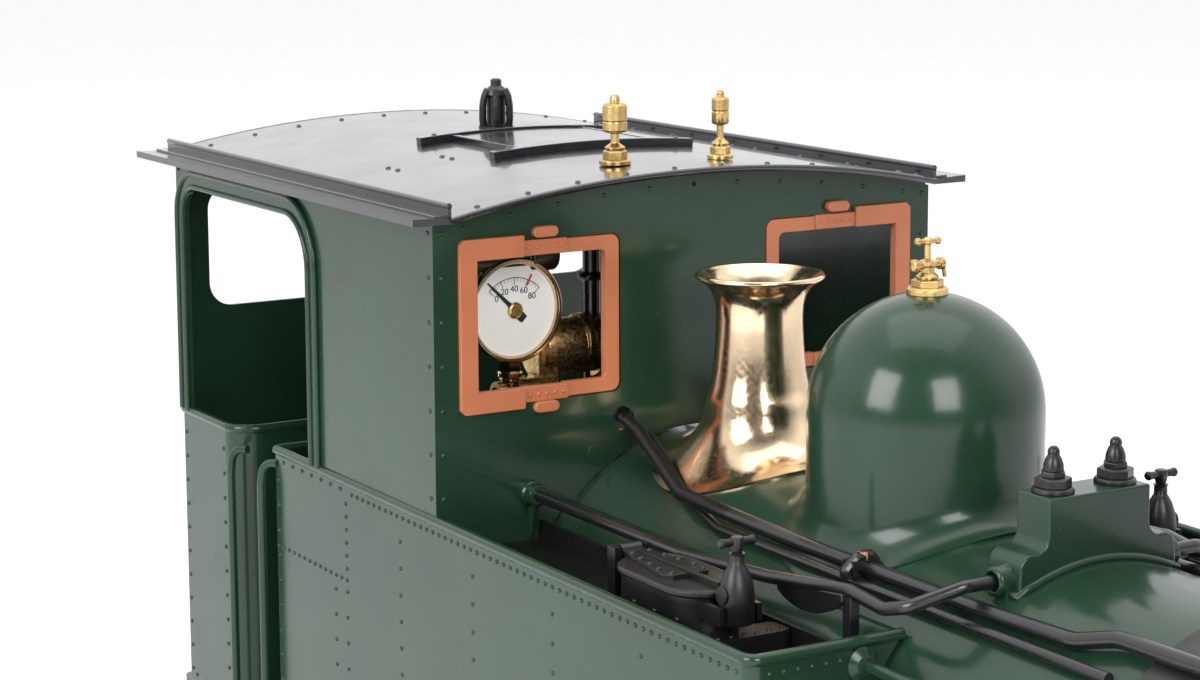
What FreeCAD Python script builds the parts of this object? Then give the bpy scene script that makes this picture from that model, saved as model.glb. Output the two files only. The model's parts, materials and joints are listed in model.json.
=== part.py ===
import FreeCAD, Part
import math
import os
import Sketcher
from FreeCAD import Rotation, Vector

# A 16 mm to the foot live steam side tank engine, millimetres.
# X runs forward along the track, Y to the left, Z up.  The origin is on the rail
# level of the wheel flanges, midway between the couplers.

DRIVING_SIZES = {
    # cab
    "cab_front_x": -45.5, "cab_length": 115.0, "cab_width": 106.0, "cab_side_top": 155.4,
    "plate": 0.9, "roof_crown": 162.0, "roof_arc": 249.0, "roof_half_width": 58.7,
    # tanks and boiler
    "footplate_top": 44.5, "tank_top": 103.5, "tank_rear_x": -113.2, "tank_front_x": 51.5,
    "deck_drop": 6.0, "boiler_axis": 79.5, "boiler_radius": 34.4, "filler_x": 16.1, "filler_y": 42.3,
    "filler_half": 6.2, "filler_round": 6.6, "filler_height": 8.2,
    # boiler mountings
    "bonnet_x": -24.3, "dome_x": 23.0, "dome_radius": 19.1, "dome_top": 148.4, "sandbox_x": 61.5,
    "smokebox_back": 97.0, "smokebox_front": 137.0, "smokebox_radius": 34.9, "chimney_x": 117.0,
    # chassis
    "beam_x": 167.5, "coupler_reach": 12.0, "frame_y": 22.5, "frame_plate": 2.0,
    "wheel_radius": 19.5, "flange_height": 1.5, "axle_spacing": 48.0, "main_axle_x": 2.0,
    "wheel_inner_y": 14.0, "wheel_outer_y": 19.5, "axle_radius": 2.5, "crank_throw": 6.5,
    "crankpin_radius": 1.75, "running_gap": 0.05, "rod_length": 70.0, "cylinder_y": 39.0,
    "bore_radius": 6.0, "pony_radius": 11.0, "front_pony_x": 134.0, "rear_pony_x": -128.0,
    "front_pivot_x": 98.0, "rear_pivot_x": -92.0,
}

doc = FreeCAD.newDocument("steam_engine")
sheet = doc.addObject("Spreadsheet::Sheet", "Sizes")
parts = []


class Size:
    """A number of millimetres that keeps the sheet expression it comes from."""

    def __init__(self, value, text):
        self.value = value
        self.text = text

    def __add__(self, other):
        other = as_size(other)
        return Size(self.value + other.value, f"({self.text} + {other.text})")

    def __sub__(self, other):
        other = as_size(other)
        return Size(self.value - other.value, f"({self.text} - {other.text})")

    def __mul__(self, other):
        other = as_size(other)
        return Size(self.value * other.value, f"({self.text} * {other.text})")

    def __truediv__(self, other):
        other = as_size(other)
        return Size(self.value / other.value, f"({self.text} / {other.text})")

    def __neg__(self):
        return Size(-self.value, f"(-1 * {self.text})")

    def __radd__(self, other):
        return as_size(other) + self

    def __rsub__(self, other):
        return as_size(other) - self

    def __rmul__(self, other):
        return as_size(other) * self

    def __float__(self):
        return float(self.value)


def as_size(number):
    if isinstance(number, Size):
        return number
    return Size(float(number), f"({float(number)})")


class Sizes:
    """The driving dimensions, one attribute for each alias in the sheet."""


d = Sizes()
for row, (alias, value) in enumerate(DRIVING_SIZES.items(), start=1):
    sheet.set(f"A{row}", alias)
    sheet.set(f"B{row}", str(value))
    sheet.setAlias(f"B{row}", alias)
    setattr(d, alias, Size(value, f"Sizes.{alias}"))
doc.recompute()

AXLE_Z = d.wheel_radius + d.flange_height
PONY_Z = d.pony_radius + d.flange_height
CAB_REAR_X = d.cab_front_x - d.cab_length
HALF_CAB = d.cab_width / 2
FOOTPLATE_BOTTOM = d.footplate_top - 1.5
BACKHEAD_X = d.cab_front_x - 21.0
AXLES = {"leading": d.main_axle_x + d.axle_spacing, "main": d.main_axle_x,
         "trailing": d.main_axle_x - d.axle_spacing}


# ---------------------------------------------------------------- drawing helpers

def bind(item, path, value):
    item.setExpression(path, as_size(value).text)


def place(item, x=0.0, y=0.0, z=0.0, axis=None, angle=0.0):
    if axis is not None:
        item.Placement = FreeCAD.Placement(Vector(), Rotation(Vector(*axis), angle))
    for letter, value in (("x", x), ("y", y), ("z", z)):
        bind(item, f"Placement.Base.{letter}", value)
    return item


def node(item, label):
    """Marks an object as one of the engine's own pieces, kept under this name."""
    item.Label = label
    parts.append(item)
    return item


def box(x0, x1, y0, y1, z0, z1):
    item = doc.addObject("Part::Box", "block")
    for path, low, high in (("Length", x0, x1), ("Width", y0, y1), ("Height", z0, z1)):
        bind(item, path, as_size(high) - low)
    return place(item, x0, y0, z0)


TURNS = {"x": ((0, 1, 0), 90), "y": ((1, 0, 0), -90), "z": ((0, 0, 1), 0)}


def rod(x, y, z, direction, radius, length):
    item = doc.addObject("Part::Cylinder", "rod")
    bind(item, "Radius", radius)
    bind(item, "Height", length)
    axis, angle = TURNS[direction]
    return place(item, x, y, z, axis, angle)


def fuse(*items):
    item = doc.addObject("Part::MultiFuse", "joined")
    item.Shapes = list(items)
    item.Refine = False
    return item


def cut(base, *tools):
    item = doc.addObject("Part::Cut", "cut")
    item.Base = base
    item.Tool = tools[0] if len(tools) == 1 else fuse(*tools)
    return item


def group(*items):
    """Several separate solids kept as one piece of the list."""
    item = doc.addObject("Part::Compound", "set")
    item.Links = list(items)
    return item


def other_side(item):
    """The same piece on the left-hand side of the engine."""
    image = doc.addObject("Part::Mirroring", "mirrored")
    image.Source = item
    image.Normal = Vector(0, 1, 0)
    return image


def both_sides(*items):
    return group(*items, *[other_side(item) for item in items])


def new_body():
    return doc.addObject("PartDesign::Body", "body")


def new_sketch(body, plane, offset=0.0):
    sketch = body.newObject("Sketcher::SketchObject", "sketch")
    role = f"{plane}_Plane"
    origin_plane = [item for item in body.Origin.OriginFeatures if item.Role == role][0]
    sketch.AttachmentSupport = [(origin_plane, "")]
    sketch.MapMode = "FlatFace"
    bind(sketch, "AttachmentOffset.Base.z", offset)
    return sketch


def fix_point(sketch, geometry, end, x, y):
    """Ties a point to the sketch's origin by sheet sizes."""
    for kind, on_axis, value in (("DistanceX", -2, x), ("DistanceY", -1, y)):
        value = as_size(value)
        if abs(value.value) < 1e-9:
            sketch.addConstraint(Sketcher.Constraint("PointOnObject", geometry, end, on_axis))
            continue
        number = sketch.addConstraint(
            Sketcher.Constraint(kind, -1, 1, geometry, end, value.value))
        bind(sketch, f"Constraints[{number}]", value)


def arc_centre(start, end, radius):
    """Centre of the short arc from start to end, anticlockwise for a positive radius."""
    chord = end - start
    half = chord.Length / 2
    height = math.sqrt(max(radius * radius - half * half, 0.0))
    left = Vector(-chord.y, chord.x, 0) / chord.Length
    return (start + end) / 2 + left * (height if radius > 0 else -height)


def outline(sketch, points):
    """A closed outline.  A point is (x, y), or (x, y, radius) where an arc follows it."""
    first = sketch.GeometryCount
    count = len(points)
    ends = []
    for index, point in enumerate(points):
        after = points[(index + 1) % count]
        start = Vector(float(point[0]), float(point[1]), 0)
        end = Vector(float(after[0]), float(after[1]), 0)
        if len(point) == 2:
            sketch.addGeometry(Part.LineSegment(start, end))
            ends.append((1, 2))
            continue
        radius = float(point[2])
        centre = arc_centre(start, end, radius)
        here, there = (start, end) if radius > 0 else (end, start)
        low = math.atan2(here.y - centre.y, here.x - centre.x)
        high = math.atan2(there.y - centre.y, there.x - centre.x)
        circle = Part.Circle(centre, Vector(0, 0, 1), abs(radius))
        sketch.addGeometry(Part.ArcOfCircle(circle, low, high))
        ends.append((1, 2) if radius > 0 else (2, 1))
    for index, point in enumerate(points):
        geometry = first + index
        before = first + (index - 1) % count
        sketch.addConstraint(Sketcher.Constraint(
            "Coincident", before, ends[(index - 1) % count][1], geometry, ends[index][0]))
        fix_point(sketch, geometry, ends[index][0], point[0], point[1])
        if len(point) == 3:
            size = as_size(point[2])
            size = size if size.value > 0 else -size
            number = sketch.addConstraint(
                Sketcher.Constraint("Radius", geometry, size.value))
            bind(sketch, f"Constraints[{number}]", size)


def ring(sketch, x, y, radius):
    geometry = sketch.addGeometry(
        Part.Circle(Vector(float(x), float(y), 0), Vector(0, 0, 1), float(radius)))
    fix_point(sketch, geometry, 3, x, y)
    number = sketch.addConstraint(Sketcher.Constraint("Radius", geometry, float(radius)))
    bind(sketch, f"Constraints[{number}]", radius)


def rectangle(x0, y0, x1, y1, corner=None):
    if corner is None:
        return [(x0, y0), (x1, y0), (x1, y1), (x0, y1)]
    return [(x0 + corner, y0), (x1 - corner, y0, corner), (x1, y0 + corner),
            (x1, y1 - corner, corner), (x1 - corner, y1), (x0 + corner, y1, corner),
            (x0, y1 - corner), (x0, y0 + corner, corner)]


def obround(x0, y0, x1, y1, radius):
    """A slot shape round two centres, drawn as two lines and four quarter arcs."""
    across = Vector(float(x1) - float(x0), float(y1) - float(y0), 0)
    along = across.normalize()
    side = Vector(-along.y, along.x, 0)
    return [(x0 - radius * side.x, y0 - radius * side.y),
            (x1 - radius * side.x, y1 - radius * side.y, radius),
            (x1 + radius * along.x, y1 + radius * along.y, radius),
            (x1 + radius * side.x, y1 + radius * side.y),
            (x0 + radius * side.x, y0 + radius * side.y, radius),
            (x0 - radius * along.x, y0 - radius * along.y, radius)]


def pad(body, plane, offset, length, *loops):
    """Raises outlines (lists of points) and circles (tuples) from a plane of the body."""
    return extrude(body, "PartDesign::Pad", plane, offset, length, loops)


def pocket(body, plane, offset, length, *loops):
    """Cuts the same way as pad goes, and stops the run if nothing was cut."""
    before = body_volume(body)
    feature = extrude(body, "PartDesign::Pocket", plane, offset, length, loops)
    feature.Reversed = True
    doc.recompute()
    if body.Shape.Volume > before - 0.01:
        raise RuntimeError(f"a pocket cut nothing from {body.Label}")
    return feature


def body_volume(body):
    doc.recompute()
    return body.Shape.Volume


def extrude(body, kind, plane, offset, length, loops):
    sketch = new_sketch(body, plane, offset)
    for loop in loops:
        if isinstance(loop, tuple):
            ring(sketch, *loop)
        else:
            outline(sketch, loop)
    feature = body.newObject(kind, "feature")
    feature.Profile = sketch
    bind(feature, "Length", length)
    body.Tip = feature
    return feature


def turned(points, x=0.0, y=0.0, z=0.0):
    """A piece turned on a lathe: points are (radius, height) round the vertical axis."""
    return revolve(points, "V_Axis", x, y, z)


def turned_along_x(points, x=0.0, y=0.0, z=0.0):
    """A turned piece with its axis fore and aft: points are (distance, radius)."""
    return revolve(points, "H_Axis", x, y, z)


def revolve(points, axis, x, y, z):
    body = new_body()
    sketch = new_sketch(body, "XZ")
    outline(sketch, points)
    feature = body.newObject("PartDesign::Revolution", "turning")
    feature.Profile = sketch
    feature.ReferenceAxis = (sketch, [axis])
    feature.Angle = 360
    body.Tip = feature
    return place(body, x, y, z)


def bent_bar(points, radius, bend):
    """A round bar or pipe along straight runs joined by tangent arcs."""
    spots = [Vector(*[float(value) for value in point]) for point in points]
    edges = []
    start = spots[0]
    for before, corner, after in zip(spots, spots[1:], spots[2:]):
        back = (before - corner).normalize()
        ahead = (after - corner).normalize()
        half = back.getAngle(ahead) / 2
        trim = float(bend) / math.tan(half)
        enter = corner + back * trim
        leave = corner + ahead * trim
        bisector = (back + ahead).normalize()
        middle = corner + bisector * (float(bend) / math.sin(half) - float(bend))
        edges.append(Part.LineSegment(start, enter).toShape())
        edges.append(Part.Arc(enter, middle, leave).toShape())
        start = leave
    edges.append(Part.LineSegment(start, spots[-1]).toShape())
    path = Part.Wire(edges)
    circle = Part.Circle(spots[0], spots[1] - spots[0], float(radius))
    item = doc.addObject("Part::Feature", "bar")
    item.Shape = path.makePipeShell([Part.Wire([circle.toShape()])], True, False)
    return item


def saddled(outer, inner, host_radius, flare):
    """A hollow turned cover with a flared foot that fits a barrel's round top."""
    barrel = Part.makeCylinder(float(host_radius), 200, Vector(-100, 0, 0), Vector(1, 0, 0))
    centre = outer.Placement.Base
    barrel.rotate(Vector(), Vector(1, 0, 0), 90)
    barrel.translate(Vector(centre.x, 0, float(d.boiler_axis)))
    joined = outer.Shape.fuse(barrel)
    seam = []
    for edge in joined.Edges:
        middle = edge.valueAt((edge.FirstParameter + edge.LastParameter) / 2)
        off_axis = math.hypot(middle.y, middle.z - float(d.boiler_axis))
        on_barrel = abs(off_axis - float(host_radius)) < 0.01
        spread = edge.BoundBox
        if on_barrel and spread.XLength > 0.1 and spread.YLength > 0.1:
            seam.append(edge)
    cover = joined.makeFillet(float(flare), seam).cut(barrel).cut(inner.Shape)
    item = doc.addObject("Part::Feature", "cover")
    item.Shape = cover
    return item


# ---------------------------------------------------------------- chassis

def make_frames():
    body = new_body()
    reach = d.beam_x - 2.0
    deep = 15.0
    shallow = 27.0
    side = [(-reach, shallow), (-80.0, shallow), (-74.0, deep), (118.0, deep),
            (120.0, shallow), (reach, shallow), (reach, FOOTPLATE_BOTTOM),
            (-reach, FOOTPLATE_BOTTOM)]
    holes = [(x, AXLE_Z, d.axle_radius + 0.8) for x in AXLES.values()]
    pad(body, "XZ", d.frame_y, d.frame_plate, side, *holes)
    node(both_sides(body), "frame_plates")


def make_stretchers():
    pieces = []
    for x, low in ((-72.0, 18.0), (-23.0, 16.0), (25.0, 16.0), (76.0, 18.0)):
        pieces.append(box(x, x + 2.0, -d.frame_y, d.frame_y, low, FOOTPLATE_BOTTOM))
    for x in (d.front_pivot_x, d.rear_pivot_x):
        bar = box(x - 5.0, x + 5.0, -d.frame_y, d.frame_y, 28.0, 32.0)
        pin = rod(x, 0.0, 17.0, "z", 1.5, 11.5)
        collar = rod(x, 0.0, 17.0, "z", 2.6, 1.5)
        pieces.append(fuse(bar, pin, collar))
    node(group(*pieces), "frame_stretchers")


def make_footplate():
    reach = d.beam_x - 2.0
    body = new_body()
    pad(body, "XY", FOOTPLATE_BOTTOM, d.footplate_top - FOOTPLATE_BOTTOM,
        rectangle(-reach, -HALF_CAB + 0.5, reach, HALF_CAB - 0.5, as_size(2.0)))
    pieces = []
    for x in (-123.0, 148.0):
        hanger = box(x - 6.0, x + 6.0, -50.6, -49.6, 22.0, FOOTPLATE_BOTTOM)
        tread = box(x - 6.5, x + 6.5, -55.5, -49.6, 22.0, 23.0)
        middle_tread = box(x - 6.5, x + 6.5, -54.5, -49.6, 32.5, 33.5)
        pieces.append(fuse(hanger, tread, middle_tread))
    node(group(body, both_sides(*pieces)), "footplate_and_steps")


def make_buffer_beams():
    beams = [box(d.beam_x - 2.0, d.beam_x, -46.0, 46.0, 27.0, d.footplate_top),
             box(-d.beam_x, -d.beam_x + 2.0, -46.0, 46.0, 27.0, d.footplate_top)]
    heads = []
    for end in (1, -1):
        body = new_body()
        reach = d.coupler_reach
        pad(body, "XY", -4.0, 8.0, [(0.0, -4.0), (5.0, -4.0), (8.5, -7.0), (reach, -7.0, 20.0),
                                    (reach, 7.0), (8.5, 7.0), (5.0, 4.0), (0.0, 4.0)])
        pocket(body, "XY", -1.3, 2.6, rectangle(5.0, -8.0, reach + 2.0, 8.0))
        pocket(body, "XY", -5.0, 10.0, (8.6, 0.0, 1.6))
        place(body, d.beam_x * end, 0.0, 34.0, (0, 0, 1), 0 if end > 0 else 180)
        heads.append(body)
    node(group(*beams, *heads), "buffer_beams_and_couplers")


def make_axle_boxes():
    pieces = []
    inner = d.frame_y + d.frame_plate
    for x in AXLES.values():
        case = box(x - 5.0, x + 5.0, -inner - 2.6, -inner, AXLE_Z - 6.0, AXLE_Z + 6.0)
        hole = rod(x, -inner - 4.0, AXLE_Z, "y", d.axle_radius + d.running_gap, 6.0)
        pieces.append(cut(case, hole))
        leaves = [box(x - 11.0 + 2.2 * leaf, x + 11.0 - 2.2 * leaf, -inner - 2.2, -inner,
                      AXLE_Z + 11.0 - 0.9 * leaf, AXLE_Z + 11.9 - 0.9 * leaf) for leaf in range(4)]
        buckle = box(x - 1.3, x + 1.3, -inner - 2.5, -inner, AXLE_Z + 6.0, AXLE_Z + 12.4)
        pieces.append(fuse(buckle, *leaves))
    node(both_sides(*pieces), "axle_boxes_and_springs")


def make_cylinders():
    body = new_body()
    inner = d.frame_y + d.frame_plate
    barrel = as_size(9.0)
    y = d.cylinder_y
    top = FOOTPLATE_BOTTOM - 0.3
    section = [(-inner, AXLE_Z - barrel), (-inner, top), (-y - 6.0, top), (-y - barrel, top - 4.0),
               (-y - barrel, AXLE_Z, barrel), (-y, AXLE_Z - barrel)]
    pad(body, "YZ", 90.0, 28.0, list(reversed(section_reversed_arcs(section))))
    pocket(body, "YZ", 93.0, 26.0, (-y, AXLE_Z, d.bore_radius))
    pocket(body, "YZ", 89.0, 5.0, (-y, AXLE_Z, 1.4))
    cover = fuse(rod(118.0, -y, AXLE_Z, "x", barrel - 0.6, 1.4), rod(118.0, -y, AXLE_Z, "x", 3.0, 2.2))
    node(both_sides(body, cover, slide_bars()), "cylinders_and_slide_bars")


def section_reversed_arcs(points):
    """Walks an outline the other way round, moving each arc to the point that now starts it."""
    count = len(points)
    walked = []
    for index, point in enumerate(points):
        before = points[(index - 1) % count]
        walked.append((point[0], point[1], -before[2]) if len(before) == 3
                      else (point[0], point[1]))
    return walked


def slide_bars():
    outer = d.cylinder_y + 2.0
    inner = d.cylinder_y - 1.5
    bars = [box(57.0, 90.0, -outer, -inner, AXLE_Z + 5.0, AXLE_Z + 6.5),
            box(57.0, 90.0, -outer, -inner, AXLE_Z - 6.5, AXLE_Z - 5.0),
            box(57.0, 59.0, -outer, -inner, AXLE_Z - 6.5, FOOTPLATE_BOTTOM)]
    return fuse(*bars)


# ---------------------------------------------------------------- wheels and motion

def wheel_profile(tread, axle, half_axle):
    """Half section of a wheelset, (radius, distance from the centre line)."""
    flange = tread + d.flange_height
    near = d.wheel_inner_y
    far = d.wheel_outer_y
    rim = tread - 2.2
    hub = axle + 2.6
    web_near = near + 1.4
    web_far = near + 3.4
    right = [(0.0, -half_axle), (axle, -half_axle), (axle, -far - 0.6), (hub, -far - 0.6),
             (hub, -web_far), (rim, -web_far), (rim, -far), (tread, -far), (tread, -near - 1.2),
             (flange, -near - 0.5), (flange, -near), (rim, -near), (rim, -web_near),
             (hub, -web_near), (hub, -near + 0.6), (axle, -near + 0.6)]
    left = [(radius, -distance) for radius, distance in reversed(right)]
    return right + left


def make_wheelset(x, z, tread, axle, half_axle, spoke_gaps, gap_radius):
    body = new_body()
    sketch = new_sketch(body, "XY")
    outline(sketch, wheel_profile(tread, axle, half_axle))
    feature = body.newObject("PartDesign::Revolution", "turning")
    feature.Profile = sketch
    feature.ReferenceAxis = (sketch, ["V_Axis"])
    feature.Angle = 360
    body.Tip = feature
    middle = (tread - 2.2 + axle + 2.6) / 2
    gaps = []
    for turn in range(spoke_gaps):
        angle = 2 * math.pi * turn / spoke_gaps
        gaps.append((middle * math.cos(angle), middle * math.sin(angle), gap_radius))
    pocket(body, "XZ", -d.wheel_outer_y - 1.0, d.wheel_outer_y * 2 + 2.0, *gaps)
    return place(body, x, 0.0, z)


CRANK_Y = as_size(27.5)
CRANK_THICKNESS = as_size(3.0)
QUARTER = math.sqrt(0.5)
CRANKS = {"right": (QUARTER, -QUARTER), "left": (QUARTER, QUARTER)}


def add_crank(body, side, pin_length):
    """A crank web outside the frames with its pin, and for the main axle an oil plug hole."""
    sign = 1 if side == "right" else -1
    across, up = CRANKS[side]
    pin_x = d.crank_throw * across
    pin_z = d.crank_throw * up
    start = CRANK_Y if sign > 0 else -CRANK_Y - CRANK_THICKNESS
    pad(body, "XZ", start, CRANK_THICKNESS, obround(0.0, 0.0, pin_x, pin_z, as_size(4.2)))
    pin_start = CRANK_Y + CRANK_THICKNESS
    start = pin_start if sign > 0 else -pin_start - pin_length
    pad(body, "XZ", start, pin_length, (pin_x, pin_z, d.crankpin_radius))


def make_wheelsets():
    for name, x in AXLES.items():
        body = make_wheelset(x, AXLE_Z, d.wheel_radius, d.axle_radius, CRANK_Y, 10, as_size(2.9))
        pin_length = as_size(6.6 if name == "main" else 3.6)
        for side in CRANKS:
            add_crank(body, side, pin_length)
        if name == "main":
            for side, (across, up) in CRANKS.items():
                start = CRANK_Y + 1.0 if side == "right" else -CRANK_Y - CRANK_THICKNESS
                hole = (d.crank_throw / 2 * across, d.crank_throw / 2 * up, as_size(1.0))
                pocket(body, "XZ", start, as_size(2.0), hole)
        node(body, f"{name}_wheelset")


def make_crank_plugs():
    for side, (across, up) in CRANKS.items():
        sign = -1 if side == "right" else 1
        x = d.main_axle_x + d.crank_throw / 2 * across
        z = AXLE_Z + d.crank_throw / 2 * up
        y = -CRANK_Y - CRANK_THICKNESS if sign < 0 else CRANK_Y + 1.1
        node(rod(x, y, z, "y", 0.95, 1.9), f"crank_oil_plug_{side}")


def make_coupling_rods():
    for side, (across, up) in CRANKS.items():
        body = new_body()
        start = as_size(31.0) if side == "right" else as_size(-33.5)
        spacing = d.axle_spacing
        pad(body, "XZ", start, as_size(2.5), rectangle(-spacing, -1.7, spacing, 1.7))
        for x in (-spacing, as_size(0.0), spacing):
            pad(body, "XZ", start, as_size(2.5), (x, 0.0, as_size(3.6)))
        for x in (-spacing, as_size(0.0), spacing):
            pocket(body, "XZ", start - 1.0, as_size(4.5), (x, 0.0, d.crankpin_radius + d.running_gap))
        place(body, d.main_axle_x + d.crank_throw * across, 0.0, AXLE_Z + d.crank_throw * up)
        node(body, f"coupling_rod_{side}")


def make_connecting_rods():
    for side, (across, up) in CRANKS.items():
        body = new_body()
        start = as_size(34.2) if side == "right" else as_size(-36.6)
        drop = math.degrees(math.asin(float(d.crank_throw) * up / float(d.rod_length)))
        thick = as_size(2.4)
        pad(body, "XZ", start, thick, [(0.0, -2.0), (d.rod_length, -1.5), (d.rod_length, 1.5), (0.0, 2.0)])
        pad(body, "XZ", start, thick, (0.0, 0.0, as_size(4.0)))
        pad(body, "XZ", start, thick, (d.rod_length, 0.0, as_size(3.0)))
        pocket(body, "XZ", start - 1.0, as_size(4.4), (0.0, 0.0, d.crankpin_radius + d.running_gap))
        pocket(body, "XZ", start - 1.0, as_size(4.4), (d.rod_length, 0.0, as_size(1.4)))
        place(body, d.main_axle_x + d.crank_throw * across, 0.0, AXLE_Z + d.crank_throw * up,
              (0, 1, 0), drop)
        node(body, f"connecting_rod_{side}")


def make_crossheads():
    for side, (across, up) in CRANKS.items():
        lean = math.sqrt(float(d.rod_length) ** 2 - (float(d.crank_throw) * up) ** 2)
        x = d.main_axle_x + d.crank_throw * across + lean
        outer = d.cylinder_y + 1.7
        inner = d.cylinder_y - 1.4
        block = box(x - 4.0, x + 4.0, -outer, -inner, AXLE_Z - 4.9, AXLE_Z + 4.9)
        stub = rod(x, -inner, AXLE_Z, "y", 1.3, 0.5)
        piston_rod = rod(x + 3.0, -d.cylinder_y, AXLE_Z, "x", 1.3, 29.0)
        piston = rod(x + 30.0, -d.cylinder_y, AXLE_Z, "x", d.bore_radius - d.running_gap, 4.0)
        shape = fuse(block, stub, piston_rod, piston)
        if side == "left":
            shape = other_side(shape)
        node(shape, f"crosshead_{side}")


def make_pony_trucks():
    for name, pivot, axle, sign in (("front", d.front_pivot_x, d.front_pony_x, 1),
                                    ("rear", d.rear_pivot_x, d.rear_pony_x, -1)):
        near = pivot - 5.0 if sign > 0 else axle - 6.0
        far = axle + 6.0 if sign > 0 else pivot + 5.0
        arm = box(near, far, -6.0, 6.0, 19.0, 21.0)
        cross = box(axle - 6.0, axle + 6.0, -11.5, 11.5, 19.0, 21.0)
        cheeks = [box(axle - 4.0, axle + 4.0, y, y + 3.0, 8.5, 19.5) for y in (-11.5, 8.5)]
        frame = fuse(arm, cross, *cheeks)
        pivot_hole = rod(pivot, 0.0, 18.0, "z", 1.5 + d.running_gap, 4.0)
        axle_hole = rod(axle, -13.0, PONY_Z, "y", 2.0 + d.running_gap, 26.0)
        node(cut(frame, pivot_hole, axle_hole), f"{name}_pony_truck")
        wheels = make_wheelset(axle, PONY_Z, d.pony_radius, as_size(2.0), d.wheel_outer_y + 0.8,
                               8, as_size(1.3))
        node(wheels, f"{name}_pony_wheelset")


# ---------------------------------------------------------------- tanks and boiler

def make_tanks():
    """A riveted trough beside the boiler, its inner side shaped round the cladding."""
    body = new_body()
    outer = -HALF_CAB
    inner = as_size(-24.9)
    front = d.tank_front_x
    corner = as_size(2.2)
    plan = [(d.tank_rear_x, outer), (front - corner, outer, corner), (front, outer + corner),
            (front, inner), (d.tank_rear_x, inner)]
    height = d.tank_top - d.footplate_top
    pad(body, "XY", d.footplate_top, height, plan)
    length = front - d.tank_rear_x
    clear = d.boiler_radius + 0.5
    side_at_top = math.sqrt(float(clear) ** 2 - float(d.tank_top - d.boiler_axis) ** 2)
    pocket(body, "YZ", d.tank_rear_x - 1.0, length + 2.0,
           [(-clear, 40.0), (-10.0, 40.0), (-10.0, d.tank_top + 5.0),
            (-side_at_top, d.tank_top + 5.0), (-side_at_top, d.tank_top, clear),
            (-clear, d.boiler_axis)])
    wall = clear + d.plate
    inner_at_top = math.sqrt(float(wall) ** 2 - float(d.tank_top - d.boiler_axis) ** 2)
    pocket(body, "YZ", d.tank_rear_x + d.plate, length - d.plate * 2,
           [(outer + d.plate, d.footplate_top + d.plate), (-wall, d.footplate_top + d.plate),
            (-wall, d.boiler_axis, -wall), (-inner_at_top, d.tank_top),
            (-inner_at_top, d.tank_top + 5.0), (outer + d.plate, d.tank_top + 5.0)])
    node(both_sides(body), "side_tanks")


def filler_outline(radius):
    """The filler's long round shape in plan, at its place on the right-hand tank."""
    rear = d.filler_x - d.filler_half
    front = d.filler_x + d.filler_half
    return obround(rear, -d.filler_y, front, -d.filler_y, radius)


def make_tank_decks():
    """The recessed top plate with the filler's neck riveted to it."""
    body = new_body()
    top = d.tank_top - d.deck_drop
    hole = d.filler_round - 1.6
    pad(body, "XY", top - 1.0, as_size(1.0),
        rectangle(d.cab_front_x + 0.1, -HALF_CAB + 1.2, d.tank_front_x - 1.6, -31.7, as_size(1.2)),
        filler_outline(hole))
    neck_top = d.filler_height + 0.4
    pad(body, "XY", top - 0.4, neck_top, filler_outline(d.filler_round - 0.7), filler_outline(hole))
    ledge = rectangle(d.filler_x + 11.6, -d.filler_y - 7.0, d.filler_x + 17.0, -32.4, as_size(2.0))
    pad(body, "XY", top, as_size(3.0), ledge)
    node(both_sides(body, *filler_brackets()), "tank_decks")


def make_filler_lids():
    top = d.tank_top - d.deck_drop + d.filler_height
    x = d.filler_x
    y = d.filler_y
    for side in ("right", "left"):
        body = new_body()
        pad(body, "XY", top + 0.1, as_size(1.0), filler_outline(d.filler_round))
        pad(body, "XY", top + 1.0, as_size(0.8), filler_outline(d.filler_round - 1.3))
        pad(body, "XY", top + 0.4, as_size(2.0), rectangle(x - 16.2, -y - 2.0, x - 9.0, -y + 2.0))
        pocket(body, "XZ", y - 4.0, as_size(8.0), (x - 15.0, top + 1.4, as_size(0.55)))
        shape = body if side == "right" else other_side(body)
        node(shape, f"filler_lid_{side}")


CLAMP_REACH = as_size(16.0)
CLAMP_RISE = as_size(6.8)


def filler_brackets():
    """Hinge posts, hinge pins and clamp lugs that stay on the tank."""
    deck = d.tank_top - d.deck_drop
    x = d.filler_x
    y = d.filler_y
    top = deck + d.filler_height
    posts = [box(x - 16.2, x - 13.8, -y + side, -y + side + 1.2, deck, top + 2.4)
             for side in (-3.4, 2.2)]
    pin = rod(x - 15.0, -y - 3.4, top + 1.4, "y", 0.5, 6.8)
    hinge = fuse(*posts, pin)
    lugs = [box(x + 10.6, x + 17.2, -y + side, -y + side + 0.8, deck + 5.4, deck + 8.1)
            for side in (-3.8, 3.0)]
    clamp_pin = rod(x + CLAMP_REACH, -y - 3.8, deck + CLAMP_RISE, "y", 0.5, 7.6)
    return hinge, fuse(clamp_pin, *lugs)


def make_filler_clamps():
    """A bullet-shaped swing nut with a tee handle on top."""
    z = d.tank_top - d.deck_drop + CLAMP_RISE
    x = d.filler_x + CLAMP_REACH
    y = d.filler_y
    for side in ("right", "left"):
        nut = turned([(0.0, -1.6), (2.6, -1.6), (2.6, 3.6), (1.3, 7.4, 7.0), (1.3, 9.2),
                      (0.8, 9.4), (0.8, 11.8), (0.0, 11.8)], x=x, y=-y, z=z)
        handle = rod(x, -y - 3.3, z + 11.0, "y", 0.7, 6.6)
        hole = rod(x, -y - 4.0, z, "y", 0.55, 8.0)
        shape = cut(fuse(nut, handle), hole)
        if side == "left":
            shape = other_side(shape)
        node(shape, f"filler_clamp_{side}")


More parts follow.
